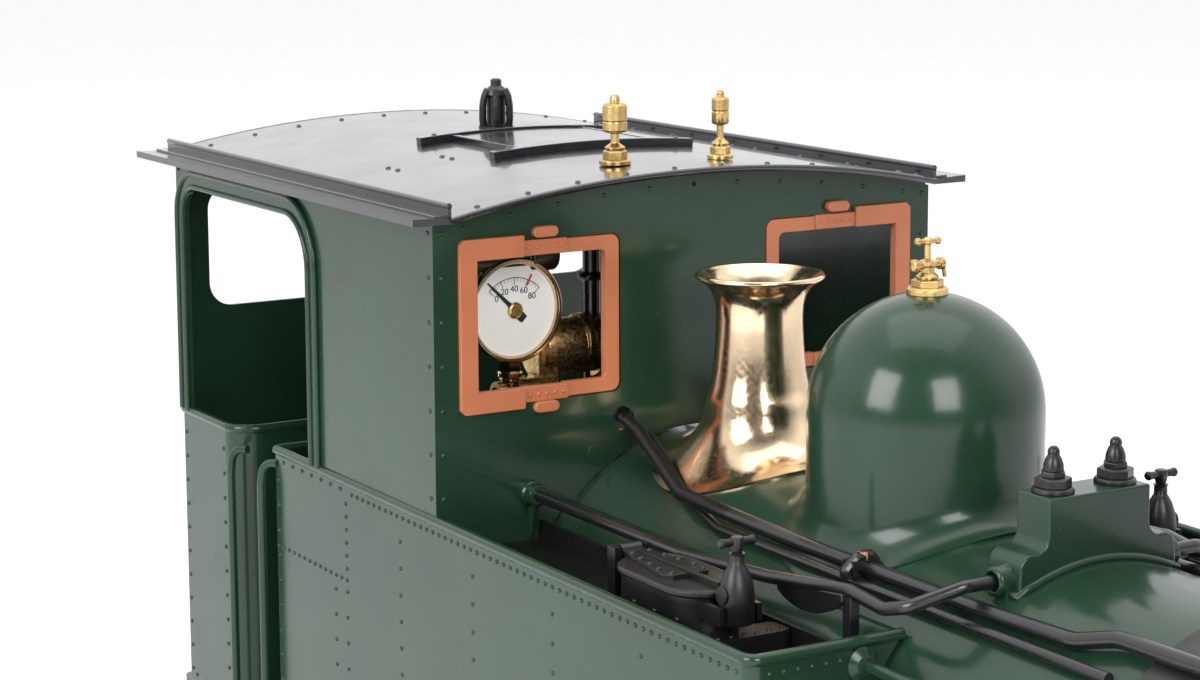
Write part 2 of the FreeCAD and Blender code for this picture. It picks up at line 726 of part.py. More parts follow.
def make_boiler():
    back = BACKHEAD_X
    front = d.smokebox_back + 2.0
    barrel = as_size(31.0)
    flue = as_size(12.0)
    z = d.boiler_axis
    shell = turned_along_x([(back, barrel - 1.5), (front, barrel - 1.5), (front, barrel),
                            (back, barrel)], z=z)
    tube = turned_along_x([(back, flue - 1.0), (front, flue - 1.0), (front, flue), (back, flue)], z=z)
    ends = [turned_along_x([(x, flue), (x + 2.0, flue), (x + 2.0, barrel - 1.5),
                            (x, barrel - 1.5)], z=z) for x in (back, front - 2.0)]
    node(group(shell, tube, *ends), "boiler_shell")
    radius = d.boiler_radius
    cladding = turned_along_x([(d.cab_front_x - 10.0, radius - 0.8), (d.smokebox_back, radius - 0.8),
                               (d.smokebox_back, radius), (d.cab_front_x - 10.0, radius)], z=z)
    valve_hole = rod(d.bonnet_x, 0.0, z + 20.0, "z", 4.9, 20.0)
    node(cut(cladding, valve_hole), "boiler_cladding")
    burner = turned_along_x([(back - 8.0, 2.0), (back + 60.0, 2.0), (back + 60.0, 8.0),
                             (back + 2.0, 8.0), (back + 2.0, 4.0), (back - 8.0, 4.0)], z=z)
    node(burner, "gas_burner")


def make_smokebox():
    radius = d.smokebox_radius
    back = d.smokebox_back
    front = d.smokebox_front
    z = d.boiler_axis
    wall = as_size(1.4)
    hole = as_size(26.0)
    shell = turned_along_x([(back + 0.1, radius - wall), (front - 1.5, radius - wall),
                            (front - 1.5, hole), (front, hole), (front, radius),
                            (back + 0.1, radius)], z=z)
    saddle = cut(box(back + 4.0, front - 4.0, -24.0, 24.0, d.footplate_top, z - 20.0),
                 rod(back, 0.0, z, "x", radius, 45.0))
    bore = rod(d.chimney_x, 0.0, z, "z", 7.0, 40.0)
    node(group(cut(shell, bore), saddle, door_hinge()), "smokebox")


def make_smokebox_door():
    front = d.smokebox_front
    z = d.boiler_axis
    rim = as_size(28.5)
    body = turned_along_x([(0.2, 0.0), (0.2, rim), (1.4, rim), (2.2, rim - 1.2, 140.0),
                           (4.6, 0.0)], x=front, z=z)
    straps = [box(front + 0.6, front + 3.4, -rim - 2.9, -16.0, z + h - 1.4, z + h + 1.4)
              for h in (-11.0, 11.0)]
    holes = rod(front + 2.0, -rim - 1.8, z - 15.0, "z", 0.85, 30.0)
    node(cut(fuse(body, *straps), holes), "smokebox_door")


def door_hinge():
    """Fixed lugs and pin of the smokebox door, on the right-hand side."""
    front = d.smokebox_front
    z = d.boiler_axis
    rim = as_size(28.5)
    lugs = [box(front - 0.6, front + 3.4, -rim - 3.2, -rim - 0.6, z + h - 1.2, z + h + 1.2)
            for h in (-14.0, -8.0, 8.0, 14.0)]
    pin = rod(front + 2.0, -rim - 1.8, z - 15.6, "z", 0.8, 31.2)
    return fuse(pin, *lugs)


def make_door_handle():
    x = d.smokebox_front + 4.7
    z = d.boiler_axis
    boss = rod(x, 0.0, z, "x", 2.4, 3.0)
    lever = box(x + 3.0, x + 4.4, -0.9, 0.9, z - 11.0, z + 2.4)
    node(fuse(boss, lever), "smokebox_dart_handle")


def make_chimney():
    top = as_size(161.0)
    foot = d.boiler_axis + d.smokebox_radius
    z = foot - 12.0
    outer = turned([(0.0, 0.0), (9.2, 0.0), (9.2, 12.0), (8.6, 22.0), (9.9, top - z - 8.0),
                    (12.9, top - z - 6.6, 5.0), (12.9, top - z - 1.6), (11.6, top - z),
                    (0.0, top - z)], x=d.chimney_x, z=z)
    inner = turned([(0.0, -1.0), (7.0, -1.0), (7.0, top - z + 1.0), (0.0, top - z + 1.0)],
                   x=d.chimney_x, z=z)
    doc.recompute()
    node(saddled(outer, inner, d.smokebox_radius, 5.0), "chimney")


def make_dome():
    radius = d.dome_radius
    foot = d.boiler_axis + d.boiler_radius - 14.0
    centre = d.dome_top - radius - foot
    outer = turned([(0.0, 0.0), (radius, 0.0), (radius, centre, radius),
                    (0.0, centre + radius)], x=d.dome_x, z=foot)
    thin = radius - 1.0
    inner = turned([(0.0, -1.0), (thin, -1.0), (thin, centre, thin), (0.0, centre + thin)],
                   x=d.dome_x, z=foot)
    doc.recompute()
    node(saddled(outer, inner, d.boiler_radius, 4.5), "dome")
    valve = turned([(0.0, 0.02), (3.2, 0.02), (3.2, 1.0), (2.1, 1.2), (2.1, 3.4), (1.3, 3.6),
                    (1.3, 5.2), (0.0, 5.2)], x=d.dome_x, z=d.dome_top)
    arm = rod(d.dome_x, -3.2, d.dome_top + 4.4, "y", 0.7, 6.4)
    node(fuse(valve, arm), "dome_valve")
    stem = rod(d.dome_x, 0.0, d.dome_top + 5.3, "z", 0.55, 3.2)
    bar = rod(d.dome_x, -2.3, d.dome_top + 7.7, "y", 0.6, 4.6)
    node(fuse(stem, bar), "dome_valve_handle")


def make_bonnet():
    """A polished trumpet round the safety valves, open at the top."""
    foot = d.boiler_axis + d.boiler_radius - 9.0
    rise = d.tank_top - foot
    outer = turned([(0.0, 0.0), (9.4, 0.0), (9.4, rise + 17.6), (7.9, rise + 28.0),
                    (7.6, rise + 36.6), (8.2, rise + 39.4), (11.4, rise + 41.4), (11.4, rise + 41.8),
                    (0.0, rise + 41.8)], x=d.bonnet_x, z=foot)
    inner = turned([(0.0, -1.0), (8.5, -1.0), (8.5, rise + 17.2), (7.0, rise + 28.0),
                    (6.7, rise + 36.6), (7.4, rise + 39.7), (10.4, rise + 41.4), (10.4, rise + 42.0),
                    (0.0, rise + 42.0)], x=d.bonnet_x, z=foot)
    doc.recompute()
    node(saddled(outer, inner, d.boiler_radius, 4.8), "safety_valve_bonnet")
    base = d.boiler_axis + 31.02
    valve = turned([(0.0, 0.0), (4.6, 0.0), (4.6, 12.0), (3.0, 13.0), (3.0, 23.0), (0.0, 23.0)],
                   x=d.bonnet_x, z=base)
    node(valve, "safety_valve")
    stem = turned([(0.0, 0.0), (2.4, 0.0), (2.4, 1.2), (1.2, 1.6), (1.2, 4.0), (0.0, 4.0)],
                  x=d.bonnet_x, z=base + 23.1)
    node(stem, "safety_valve_stem")


SANDING_RISE = as_size(8.9)


def make_sandbox():
    """A cast saddle box for sand, astride the boiler, with two filler caps."""
    body = new_body()
    x = d.sandbox_x
    half = as_size(3.8)
    z = d.boiler_axis
    top = d.tank_top + 20.9
    radius = d.boiler_radius + 0.1
    foot = 14.9
    neck = 9.7
    foot_z = z + math.sqrt(float(radius) ** 2 - foot ** 2)
    shoulder = top - 5.8
    section = [(-foot, foot_z - 2.0), (foot, foot_z - 2.0), (foot, shoulder - 3.4, 3.0),
               (foot - 2.0, shoulder - 1.6), (neck, shoulder), (neck, top), (-neck, top),
               (-neck, shoulder), (-foot + 2.0, shoulder - 1.6, 3.0), (-foot, shoulder - 3.4)]
    pad(body, "YZ", x - half, half * 2, section)
    lug_z = d.tank_top + SANDING_RISE
    lug = cut(rod(x + 0.3, -17.5, lug_z, "y", 2.3, 5.0), rod(x + 0.3, -18.5, lug_z, "y", 1.5, 3.5))
    caps = [turned([(0.0, 0.0), (3.2, 0.0), (3.2, 0.8), (2.3, 1.0), (2.3, 2.9), (1.8, 3.0),
                    (1.8, 4.0), (1.3, 4.3), (1.1, 6.0), (0.6, 6.9), (0.0, 7.0)],
                   x=x, y=side, z=top + 0.05) for side in (-6.0, 6.0)]
    barrel = rod(x - 10.0, 0.0, z, "x", radius, 20.0)
    casting = cut(fuse(body, lug, other_side(lug)), barrel)
    node(group(casting, *caps), "sandbox")


def make_pipes():
    cab = d.cab_front_x
    top = d.tank_top
    thick = bent_bar([(cab - 3.0, -14.2, top + 14.2), (cab + 8.0, -16.5, top + 12.6),
                      (cab + 30.0, -21.9, top + 6.9), (cab + 46.0, -22.2, top + 6.6),
                      (cab + 64.0, -20.7, top + 5.5), (cab + 112.0, -20.4, top + 5.45),
                      (cab + 129.0, -20.3, top + 5.9), (cab + 135.5, -18.1, top + 7.5),
                      (cab + 160.0, -17.8, top + 7.7)], 1.25, 4.0)
    thin = bent_bar([(cab + 0.3, -13.8, top + 12.4), (cab + 8.0, -14.4, top + 11.6),
                     (cab + 30.0, -20.0, top + 5.3), (cab + 42.0, -22.6, top + 3.7),
                     (cab + 90.0, -22.8, top + 3.5), (cab + 139.0, -22.8, top + 3.5)], 0.9, 4.0)
    clamp = box(cab + 79.0, cab + 82.5, -24.2, -19.8, top + 4.9, top + 7.2)
    node(both_sides(thick, thin, clamp), "boiler_pipes")


def make_sanding_pipes():
    cab = d.cab_front_x
    top = d.tank_top
    x = d.sandbox_x + 0.3
    rise = top + SANDING_RISE
    bar = bent_bar([(cab - 4.0, -34.4, top + 2.6), (cab + 50.0, -34.4, top + 2.6),
                    (cab + 72.0, -32.9, top + 3.8), (cab + 91.0, -31.2, top + 5.8),
                    (cab + 99.0, -30.8, top + 4.8), (cab + 103.5, -29.6, top + 6.0),
                    (x, -22.5, rise), (x, -15.6, rise)], 1.0, 2.0)
    blade = box(cab + 74.0, cab + 91.0, -32.4, -31.4, top - 1.6, top + 4.6)
    node(both_sides(fuse(bar, blade)), "sanding_pipes")


def make_handrails():
    y = -HALF_CAB - 1.7
    pieces = []
    for x in (d.tank_rear_x - 3.0, CAB_REAR_X + 29.5):
        low = d.footplate_top - 0.2
        pieces.append(bent_bar([(x, y, low), (x, y, d.tank_top - 6.0),
                                (x + 2.4, y + 0.4, d.tank_top - 3.0)], 0.8, 1.2))
    rail_y = -33.4
    pieces.append(rod(d.tank_front_x + 0.1, rail_y, 100.0, "x", 1.0, 80.0))
    node(both_sides(*pieces), "handrails")


# ---------------------------------------------------------------- cab

def arch_height(y, crown, radius):
    return crown - (radius - math.sqrt(radius ** 2 - y ** 2))


def make_cab_front():
    body = new_body()
    half = HALF_CAB
    crown = d.roof_crown - 1.3
    arc = d.roof_arc - 1.3
    eave = arch_height(float(half), float(crown), float(arc))
    low = d.tank_top + 0.1
    deck = d.tank_top - d.deck_drop + 0.1
    z = d.boiler_axis
    close = d.boiler_radius + 0.7
    wide = d.boiler_radius + 1.6
    close_y = math.sqrt(float(close) ** 2 - float(low - z) ** 2)
    wide_y = math.sqrt(float(wide) ** 2 - float(low - z) ** 2)
    deck_y = math.sqrt(float(wide) ** 2 - float(deck - z) ** 2)
    inset = half - 1.0
    right = [(-half, low), (-inset, low), (-inset, deck), (-deck_y, deck, -wide),
             (-wide_y, low), (-close_y, low, -close)]
    left = [(close_y, low), (wide_y, low, -wide), (deck_y, deck), (inset, deck), (inset, low),
            (half, low)]
    pad(body, "YZ", d.cab_front_x - d.plate, d.plate,
        right + left + [(half, eave, arc), (-half, eave)])
    window_low = d.tank_top + 18.9
    window_high = d.tank_top + 47.6
    holes = [rectangle(y0, window_low, y1, window_high, as_size(1.8))
             for y0, y1 in ((-47.2, -15.6), (15.6, 47.2))]
    pocket(body, "YZ", d.cab_front_x - d.plate - 1.0, as_size(3.0), *holes)
    pocket(body, "YZ", d.cab_front_x - d.plate - 1.0, as_size(3.0),
           (-34.4, d.tank_top + 2.6, as_size(1.5)), (34.4, d.tank_top + 2.6, as_size(1.5)),
           (-15.0, d.tank_top + 13.9, as_size(2.2)), (15.0, d.tank_top + 13.9, as_size(2.2)),
           (-20.5, d.tank_top + 7.9, as_size(1.6)), (20.5, d.tank_top + 7.9, as_size(1.6)))
    node(body, "cab_front")


def make_cab_sides():
    body = new_body()
    half = HALF_CAB
    cab = d.cab_front_x
    rear = CAB_REAR_X
    low = d.tank_top + 0.1
    sheet_front = cab - d.plate
    door_rear = cab - 110.5
    door_front = cab - 50.5
    arch = d.tank_top + 46.9
    outline_points = [(rear, low), (door_rear, low), (door_rear, arch - 6.0, -6.0),
                      (door_rear + 6.0, arch), (door_front - 9.5, arch, -9.5),
                      (door_front, arch - 9.5), (door_front, low), (sheet_front, low),
                      (sheet_front, d.cab_side_top), (rear, d.cab_side_top)]
    pad(body, "XZ", half - d.plate, d.plate, outline_points)
    node(both_sides(body), "cab_sides")


def make_cab_back():
    body = new_body()
    inset = HALF_CAB - d.plate
    crown = d.roof_crown - 1.3
    arc = d.roof_arc - 1.3
    eave = arch_height(float(inset), float(crown), float(arc))
    pad(body, "YZ", CAB_REAR_X, d.plate,
        [(-inset, d.footplate_top), (inset, d.footplate_top), (inset, eave, arc), (-inset, eave)])
    pocket(body, "YZ", CAB_REAR_X - 1.0, d.plate + 2.0,
           rectangle(-46.5, d.tank_top + 20.7, 46.5, d.tank_top + 46.0, as_size(5.0)))
    node(body, "cab_back")


def make_bunkers():
    """Coal bunker sides with a round front corner, under the cab's side openings."""
    body = new_body()
    outer = -HALF_CAB
    rear = CAB_REAR_X + d.plate
    front = CAB_REAR_X + 28.4
    corner = as_size(6.0)
    wall = d.plate
    inner = -36.0
    plan = [(rear, outer), (front - corner, outer, corner), (front, outer + corner), (front, inner),
            (front - wall, inner), (front - wall, outer + corner, -(corner - wall)),
            (front - corner, outer + wall), (rear, outer + wall)]
    pad(body, "XY", d.footplate_top, d.tank_top - d.footplate_top, plan)
    node(both_sides(body), "bunkers")


def make_roof():
    body = new_body()
    radius = d.roof_arc
    crown = d.roof_crown
    thick = 1.0
    arc_y = 51.6
    side = d.roof_half_width
    edge = arch_height(arc_y, float(crown), float(radius))
    under = arch_height(arc_y, float(crown) - thick, float(radius) - thick)
    pad(body, "YZ", CAB_REAR_X - 7.0, d.cab_length + 11.0,
        [(-side, edge - thick), (-arc_y, under, -(radius - thick)), (arc_y, under),
         (side, edge - thick), (side, edge + 0.3), (arc_y, edge, radius), (-arc_y, edge),
         (-side, edge + 0.3)])
    pocket(body, "XY", crown - 20.0, as_size(30.0), rectangle(-107.5, -12.0, -84.5, 12.0))
    node(body, "cab_roof")


def curved_strip(x0, x1, y0, y1, low, thick):
    """A strip that lies on the arched roof, from one place across it to another."""
    body = new_body()
    bottom = d.roof_arc + low
    top = bottom + thick
    centre = d.roof_crown - d.roof_arc
    points = []
    for radius, y in ((bottom, y0), (bottom, y1), (top, y1), (top, y0)):
        points.append((y, centre + math.sqrt(float(radius) ** 2 - y ** 2)))
    points[0] = points[0] + (-bottom,)
    points[2] = points[2] + (top,)
    pad(body, "YZ", x0, as_size(x1) - x0, points)
    return body


def make_roof_details():
    strips = [curved_strip(x, x + 2.0, -22.0, 22.0, 0.02, 1.4) for x in (-112.0, -82.0)]
    rails = []
    for side in (-1, 1):
        low = arch_height(51.6, float(d.roof_crown), float(d.roof_arc)) + 0.12
        y = 51.6 * side
        rails.append(box(CAB_REAR_X - 6.5, d.cab_front_x + 3.6, y - 0.5, y + 0.5, low, low + 2.4))
    node(group(*strips, *rails), "roof_strips")
    node(curved_strip(-109.6, -82.4, -14.5, 14.5, 0.25, 0.8), "roof_hatch")
    vent = turned([(0.0, 0.0), (3.4, 0.0), (3.4, 0.8), (2.6, 1.0), (2.6, 6.4, 2.4), (1.0, 8.8),
                   (1.0, 10.4), (0.0, 10.4)], x=-119.5, z=d.roof_crown + 0.03)
    node(vent, "roof_vent")


def make_whistles():
    large = turned([(0.0, 0.0), (2.5, 0.0), (2.5, 1.0), (1.9, 1.2), (1.9, 3.4), (0.8, 3.8),
                    (0.8, 5.4), (2.2, 5.8), (2.2, 10.8), (0.8, 11.2), (0.8, 12.6), (0.0, 12.7)],
                   x=-55.6, y=-10.5, z=d.roof_crown - 0.1)
    small = turned([(0.0, 0.0), (2.2, 0.0), (2.2, 1.0), (1.6, 1.2), (1.6, 3.6), (0.7, 4.0),
                    (0.7, 6.2), (1.5, 6.6), (1.5, 11.0), (0.6, 11.3), (0.6, 12.6), (0.0, 12.7)],
                   x=-52.9, y=10.5, z=d.roof_crown - 0.1)
    node(group(large, small), "whistles")


def make_windows():
    """Frames that pivot about an upright middle line: outer half outside, inner half inside."""
    front = d.cab_front_x
    back = front - d.plate
    low = d.tank_top + 21.6
    high = d.tank_top + 44.8
    for side in ("right", "left"):
        body = new_body()
        hole = rectangle(-44.8, low, -18.6, high, as_size(1.2))
        pad(body, "YZ", back - 0.05, d.plate + 0.1,
            rectangle(-46.95, d.tank_top + 19.1, -15.85, d.tank_top + 47.4, as_size(1.6)), hole)
        pad(body, "YZ", front + 0.05, as_size(0.9),
            [(-48.2, low - 3.7), (-35.5, low - 3.7), (-35.5, low), (-44.8, low), (-44.8, high),
             (-35.5, high), (-35.5, high + 3.8), (-48.2, high + 3.8)])
        pad(body, "YZ", back - 0.95, as_size(0.9),
            [(-27.0, low - 3.7), (-14.7, low - 3.7), (-14.7, high + 3.8), (-27.0, high + 3.8),
             (-27.0, high), (-18.6, high), (-18.6, low), (-27.0, low)])
        shape = body if side == "right" else other_side(body)
        node(shape, f"window_{side}")


def make_gauge():
    x = d.cab_front_x - 10.0
    y = -31.2
    z = d.tank_top + 33.4
    case = turned_along_x([(-4.5, 0.0), (-4.5, 8.8), (-0.6, 9.5), (0.0, 9.5), (0.0, 8.4),
                           (-1.3, 8.2), (-1.3, 0.0)], x=x, y=y, z=z)
    stem = rod(x - 3.0, y, z - 13.1, "z", 1.3, 4.5)
    node(fuse(case, stem), "pressure_gauge")
    body = new_body()
    pad(body, "YZ", x - 1.1, as_size(0.4), [(-0.9, -2.4), (0.9, -2.4), (0.25, 7.4), (-0.25, 7.4)])
    pad(body, "YZ", x - 1.2, as_size(0.9), (0.0, 0.0, as_size(1.4)))
    place(body, 0.0, y, z, (1, 0, 0), 46)
    node(body, "gauge_needle")


def make_cab_fittings():
    x = d.cab_front_x - 13.0
    z = d.tank_top + 18.0
    turret = fuse(rod(x, -34.0, z, "y", 2.2, 12.0), rod(x - 4.0, -24.0, z + 6.0, "y", 4.6, 34.0),
                  rod(x - 4.0, -12.0, z + 6.0, "y", 5.4, 2.0), rod(x - 4.0, 0.0, 110.6, "z", 2.4, 14.4),
                  box(x - 4.0, x, -25.0, -21.0, z - 2.0, z + 7.0))
    lubricator = turned([(0.0, 0.0), (6.0, 0.0), (6.0, 22.0), (3.0, 24.0), (3.0, 28.0),
                         (0.0, 28.0)], x=-73.5, y=24.0, z=d.footplate_top)
    back = BACKHEAD_X
    spindle = rod(back - 7.0, 0.0, 97.0, "x", 1.6, 6.9)
    handle = box(back - 7.0, back - 5.4, -1.2, 1.2, 97.0, 116.0)
    node(fuse(spindle, handle), "regulator_lever")
    lever = box(-84.0, -82.0, -22.0, -20.6, 50.0, 84.0)
    grip = rod(-83.0, -21.3, 82.0, "z", 1.7, 9.0)
    foot = rod(-83.0, -22.0, 50.0, "y", 2.6, 1.4)
    hole = rod(-83.0, -23.0, 50.0, "y", 1.05, 4.0)
    node(cut(fuse(lever, grip, foot), hole), "reversing_lever")
    stand = box(-87.0, -79.0, -24.4, -22.4, d.footplate_top, 53.0)
    stand = fuse(stand, rod(-83.0, -22.4, 50.0, "y", 1.0, 2.0))
    node(group(turret, lubricator, stand), "cab_fittings")


def check_and_write():
    doc.recompute()
    for item in doc.Objects:
        if "Invalid" in item.State or "Error" in item.State:
            raise RuntimeError(f"{item.Name} ({item.Label}) failed: {item.State}")
    os.makedirs("parts", exist_ok=True)
    for item in parts:
        shape = item.Shape
        if shape.isNull() or not shape.isValid() or not shape.Solids:
            raise RuntimeError(f"{item.Label} has no valid solid")
        shape.exportStep(f"parts/{item.Label}.step")
        low = shape.BoundBox
        print(f"{item.Label:24s} solids {len(shape.Solids):2d}  X {low.XMin:7.1f} {low.XMax:7.1f}"
              f"  Y {low.YMin:6.1f} {low.YMax:6.1f}  Z {low.ZMin:6.1f} {low.ZMax:6.1f}")
    print(len(parts), "pieces")


make_frames()
make_stretchers()
make_footplate()
make_buffer_beams()
make_axle_boxes()
make_cylinders()
make_wheelsets()
make_crank_plugs()
make_coupling_rods()
make_connecting_rods()
make_crossheads()
make_pony_trucks()
make_tanks()
make_tank_decks()
make_filler_lids()
make_filler_clamps()
make_boiler()
make_smokebox()
make_smokebox_door()
make_door_handle()
make_chimney()
make_dome()
make_bonnet()
make_sandbox()
make_pipes()
make_sanding_pipes()
make_handrails()
make_cab_front()
make_cab_sides()
make_cab_back()
make_bunkers()
make_roof()
make_roof_details()
make_whistles()
make_windows()
make_gauge()
make_cab_fittings()
check_and_write()
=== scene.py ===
"""The looks of a 16 mm scale live steam side tank engine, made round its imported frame.

Lengths are millimetres until a mesh is made.  "Cab" places are millimetres ahead of the
cab's front sheet, to the left of the middle line, and above the top of the tanks.
"""

import json
import math

import bmesh
import bpy
from mathutils import Matrix, Vector


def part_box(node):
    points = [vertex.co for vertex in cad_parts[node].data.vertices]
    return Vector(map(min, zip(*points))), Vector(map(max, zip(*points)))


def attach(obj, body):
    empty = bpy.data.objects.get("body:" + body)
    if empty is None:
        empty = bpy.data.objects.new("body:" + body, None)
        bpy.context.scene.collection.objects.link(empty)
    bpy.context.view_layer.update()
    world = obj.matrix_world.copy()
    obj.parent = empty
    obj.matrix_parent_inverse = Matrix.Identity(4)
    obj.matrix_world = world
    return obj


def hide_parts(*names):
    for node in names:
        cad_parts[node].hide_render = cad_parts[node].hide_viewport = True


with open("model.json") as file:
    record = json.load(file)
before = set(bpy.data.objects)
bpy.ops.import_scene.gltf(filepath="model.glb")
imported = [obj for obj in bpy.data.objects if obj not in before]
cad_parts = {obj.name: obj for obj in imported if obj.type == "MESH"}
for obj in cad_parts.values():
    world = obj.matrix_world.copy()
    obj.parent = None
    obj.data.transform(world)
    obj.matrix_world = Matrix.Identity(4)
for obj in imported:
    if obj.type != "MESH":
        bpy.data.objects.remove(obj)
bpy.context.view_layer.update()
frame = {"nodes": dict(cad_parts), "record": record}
scene = bpy.context.scene

MM = 0.001
CAB_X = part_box("cab_front")[1].x / MM
TANK_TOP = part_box("side_tanks")[1].z / MM
HALF_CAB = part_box("cab_sides")[1].y / MM
BOILER_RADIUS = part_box("boiler_cladding")[1].y / MM
BOILER_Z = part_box("boiler_cladding")[1].z / MM - BOILER_RADIUS
SMOKEBOX_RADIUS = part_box("smokebox")[1].y / MM
CHASSIS = "chassis"
SIDES = (("right", -1), ("left", 1))


# ---------------------------------------------------------------- materials

class Nodes:
    """A small helper that adds and joins the nodes of one material."""

    def __init__(self, name):
        self.material = bpy.data.materials.new(name)
        self.material.use_nodes = True
        self.tree = self.material.node_tree
        self.shader = self.tree.nodes["Principled BSDF"]
        coordinates = self.tree.nodes.new("ShaderNodeTexCoord")
        self.place = coordinates.outputs["Object"]

    def add(self, kind, **inputs):
        item = self.tree.nodes.new(kind)
        for key, value in inputs.items():
            item.inputs[key.replace("_", " ")].default_value = value
        return item

    def join(self, output, socket):
        self.tree.links.new(output, socket)

    def noise(self, scale, detail=3.0, roughness=0.5, stretch=None):
        item = self.add("ShaderNodeTexNoise", Scale=scale, Detail=detail, Roughness=roughness)
        place = self.place
        if stretch is not None:
            mapping = self.add("ShaderNodeMapping", Scale=stretch)
            self.join(place, mapping.inputs["Vector"])
            place = mapping.outputs["Vector"]
        self.join(place, item.inputs["Vector"])
        return item.outputs["Fac"]

    def spread(self, source, low, high, start=0.35, end=0.65):
        item = self.add("ShaderNodeMapRange")
        item.inputs["From Min"].default_value = start
        item.inputs["From Max"].default_value = end
        item.inputs["To Min"].default_value = low
        item.inputs["To Max"].default_value = high
        self.join(source, item.inputs["Value"])
        return item.outputs["Result"]

    def mix(self, factor, low, high):
        item = self.tree.nodes.new("ShaderNodeMix")
        item.data_type = "RGBA"
        self.join(factor, item.inputs["Factor"])
        for socket, value in ((item.inputs[6], low), (item.inputs[7], high)):
            if isinstance(value, tuple):
                socket.default_value = (*value, 1.0)
            else:
                self.join(value, socket)
        return item.outputs[2]

    def bump(self, source, distance, strength=1.0, over=None):
        item = self.add("ShaderNodeBump", Strength=strength, Distance=distance * MM)
        self.join(source, item.inputs["Height"])
        if over is not None:
            self.join(over, item.inputs["Normal"])
        return item.outputs["Normal"]

    def set(self, **values):
        for key, value in values.items():
            self.shader.inputs[key.replace("_", " ")].default_value = value


def shade(color, factor):
    return tuple(min(channel * factor, 1.0) for channel in color)


def paint(name, color, roughness, coat=0.0, peel=0.01, worn=0.12, specular=0.5, dust=0.03):
    """Sprayed enamel: faint cloudy tone, dust specks, orange peel and a clear coat."""
    nodes = Nodes(name)
    cloud = nodes.spread(nodes.noise(45.0, 4.0), 0.0, 1.0)
    tone = nodes.mix(cloud, shade(color, 1.0 - worn), shade(color, 1.0 + worn))
    specks = nodes.spread(nodes.noise(1400.0, 2.0, 0.7), 0.0, 0.35, 0.66, 0.8)
    dusty = tuple(0.8 * channel + dust for channel in color)
    nodes.join(nodes.mix(specks, tone, dusty), nodes.shader.inputs["Base Color"])
    smear = nodes.noise(60.0, 5.0, 0.6)
    nodes.join(nodes.spread(smear, roughness * 0.8, roughness * 1.25), nodes.shader.inputs["Roughness"])
    rough = nodes.bump(nodes.noise(900.0, 1.0), peel)
    nodes.join(rough, nodes.shader.inputs["Normal"])
    nodes.set(Coat_Weight=coat, Coat_Roughness=0.06, Specular_IOR_Level=specular)
    return nodes.material


def metal(name, color, roughness, scratch=0.02, stain=0.2, grain=(1.0, 1.0, 1.0)):
    """Bare metal: stains, a fine directional grain and small uneven spots."""
    nodes = Nodes(name)
    stains = nodes.spread(nodes.noise(120.0, 5.0, 0.6), 0.0, 1.0)
    tone = nodes.mix(stains, color, shade(color, 1.0 - stain))
    nodes.join(tone, nodes.shader.inputs["Base Color"])
    streaks = nodes.noise(1500.0, 3.0, 0.6, grain)
    nodes.join(nodes.spread(streaks, roughness * 0.75, roughness * 1.35), nodes.shader.inputs["Roughness"])
    nodes.join(nodes.bump(streaks, scratch), nodes.shader.inputs["Normal"])
    nodes.set(Metallic=1.0)
    return nodes.material


def make_materials():
    return {
        "green_paint": paint("green_paint", (0.0115, 0.034, 0.0180), 0.22, coat=0.12, specular=0.34),
        "black_paint": paint("black_paint", (0.007, 0.007, 0.008), 0.30, coat=0.25, dust=0.012),
        "roof_black": paint("roof_black", (0.006, 0.007, 0.010), 0.24, coat=0.7, specular=0.6,
                            worn=0.05, dust=0.008),
        "cast_black": paint("cast_black", (0.006, 0.006, 0.006), 0.34, peel=0.03, dust=0.015),
        "smokebox_black": paint("smokebox_black", (0.012, 0.012, 0.013), 0.46, peel=0.02, dust=0.015),
        "red_paint": paint("red_paint", (0.33, 0.024, 0.016), 0.22, coat=0.6),
        "terracotta_paint": paint("terracotta_paint", (0.44, 0.140, 0.062), 0.38, peel=0.02),
        "dial_white": paint("dial_white", (0.82, 0.82, 0.79), 0.5, peel=0.002, worn=0.03),
        "black_enamel": paint("black_enamel", (0.01, 0.01, 0.01), 0.6, peel=0.0, dust=0.0),
        "dial_red": paint("dial_red", (0.6, 0.02, 0.02), 0.6, peel=0.0),
        "polished_brass": metal("polished_brass", (0.74, 0.57, 0.38), 0.17, scratch=0.002, stain=0.12),
        "brass": metal("brass", (0.66, 0.45, 0.19), 0.30, scratch=0.01, stain=0.35),
        "copper": metal("copper", (0.72, 0.34, 0.20), 0.28, scratch=0.01, stain=0.4),
        "steel": metal("steel", (0.47, 0.47, 0.46), 0.30, scratch=0.01, stain=0.25),
    }


materials = make_materials()
RECORD_SLOT = {"roof_black": "black_paint", "cast_black": "black_paint", "smokebox_black": "black_paint",
               "dial_white": "brass", "dial_red": "black_enamel",
               "polished_brass": "brass", "copper": "brass"}


# ---------------------------------------------------------------- building pieces

def cab(x, y, z):
    """A place measured from the cab's front sheet and the top of the tanks."""
    return Vector((CAB_X + x, y, TANK_TOP + z))


class Shape:
    """Points in millimetres and faces, gathered before they become one piece."""

    def __init__(self):
        self.points = []
        self.faces = []

    def add(self, points, faces):
        first = len(self.points)
        self.points.extend(Vector(point) for point in points)
        self.faces.extend([first + index for index in face] for face in faces)
        return self

    def join(self, other):
        return self.add(other.points, other.faces)

    def moved(self, matrix):
        result = Shape()
        flip = matrix.to_3x3().determinant() < 0
        result.points = [matrix @ point for point in self.points]
        result.faces = [list(reversed(face)) if flip else list(face) for face in self.faces]
        return result

    def mirrored(self):
        return self.moved(Matrix.Scale(-1, 4, (0, 1, 0)))

    def both(self):
        return Shape().join(self).join(self.mirrored())


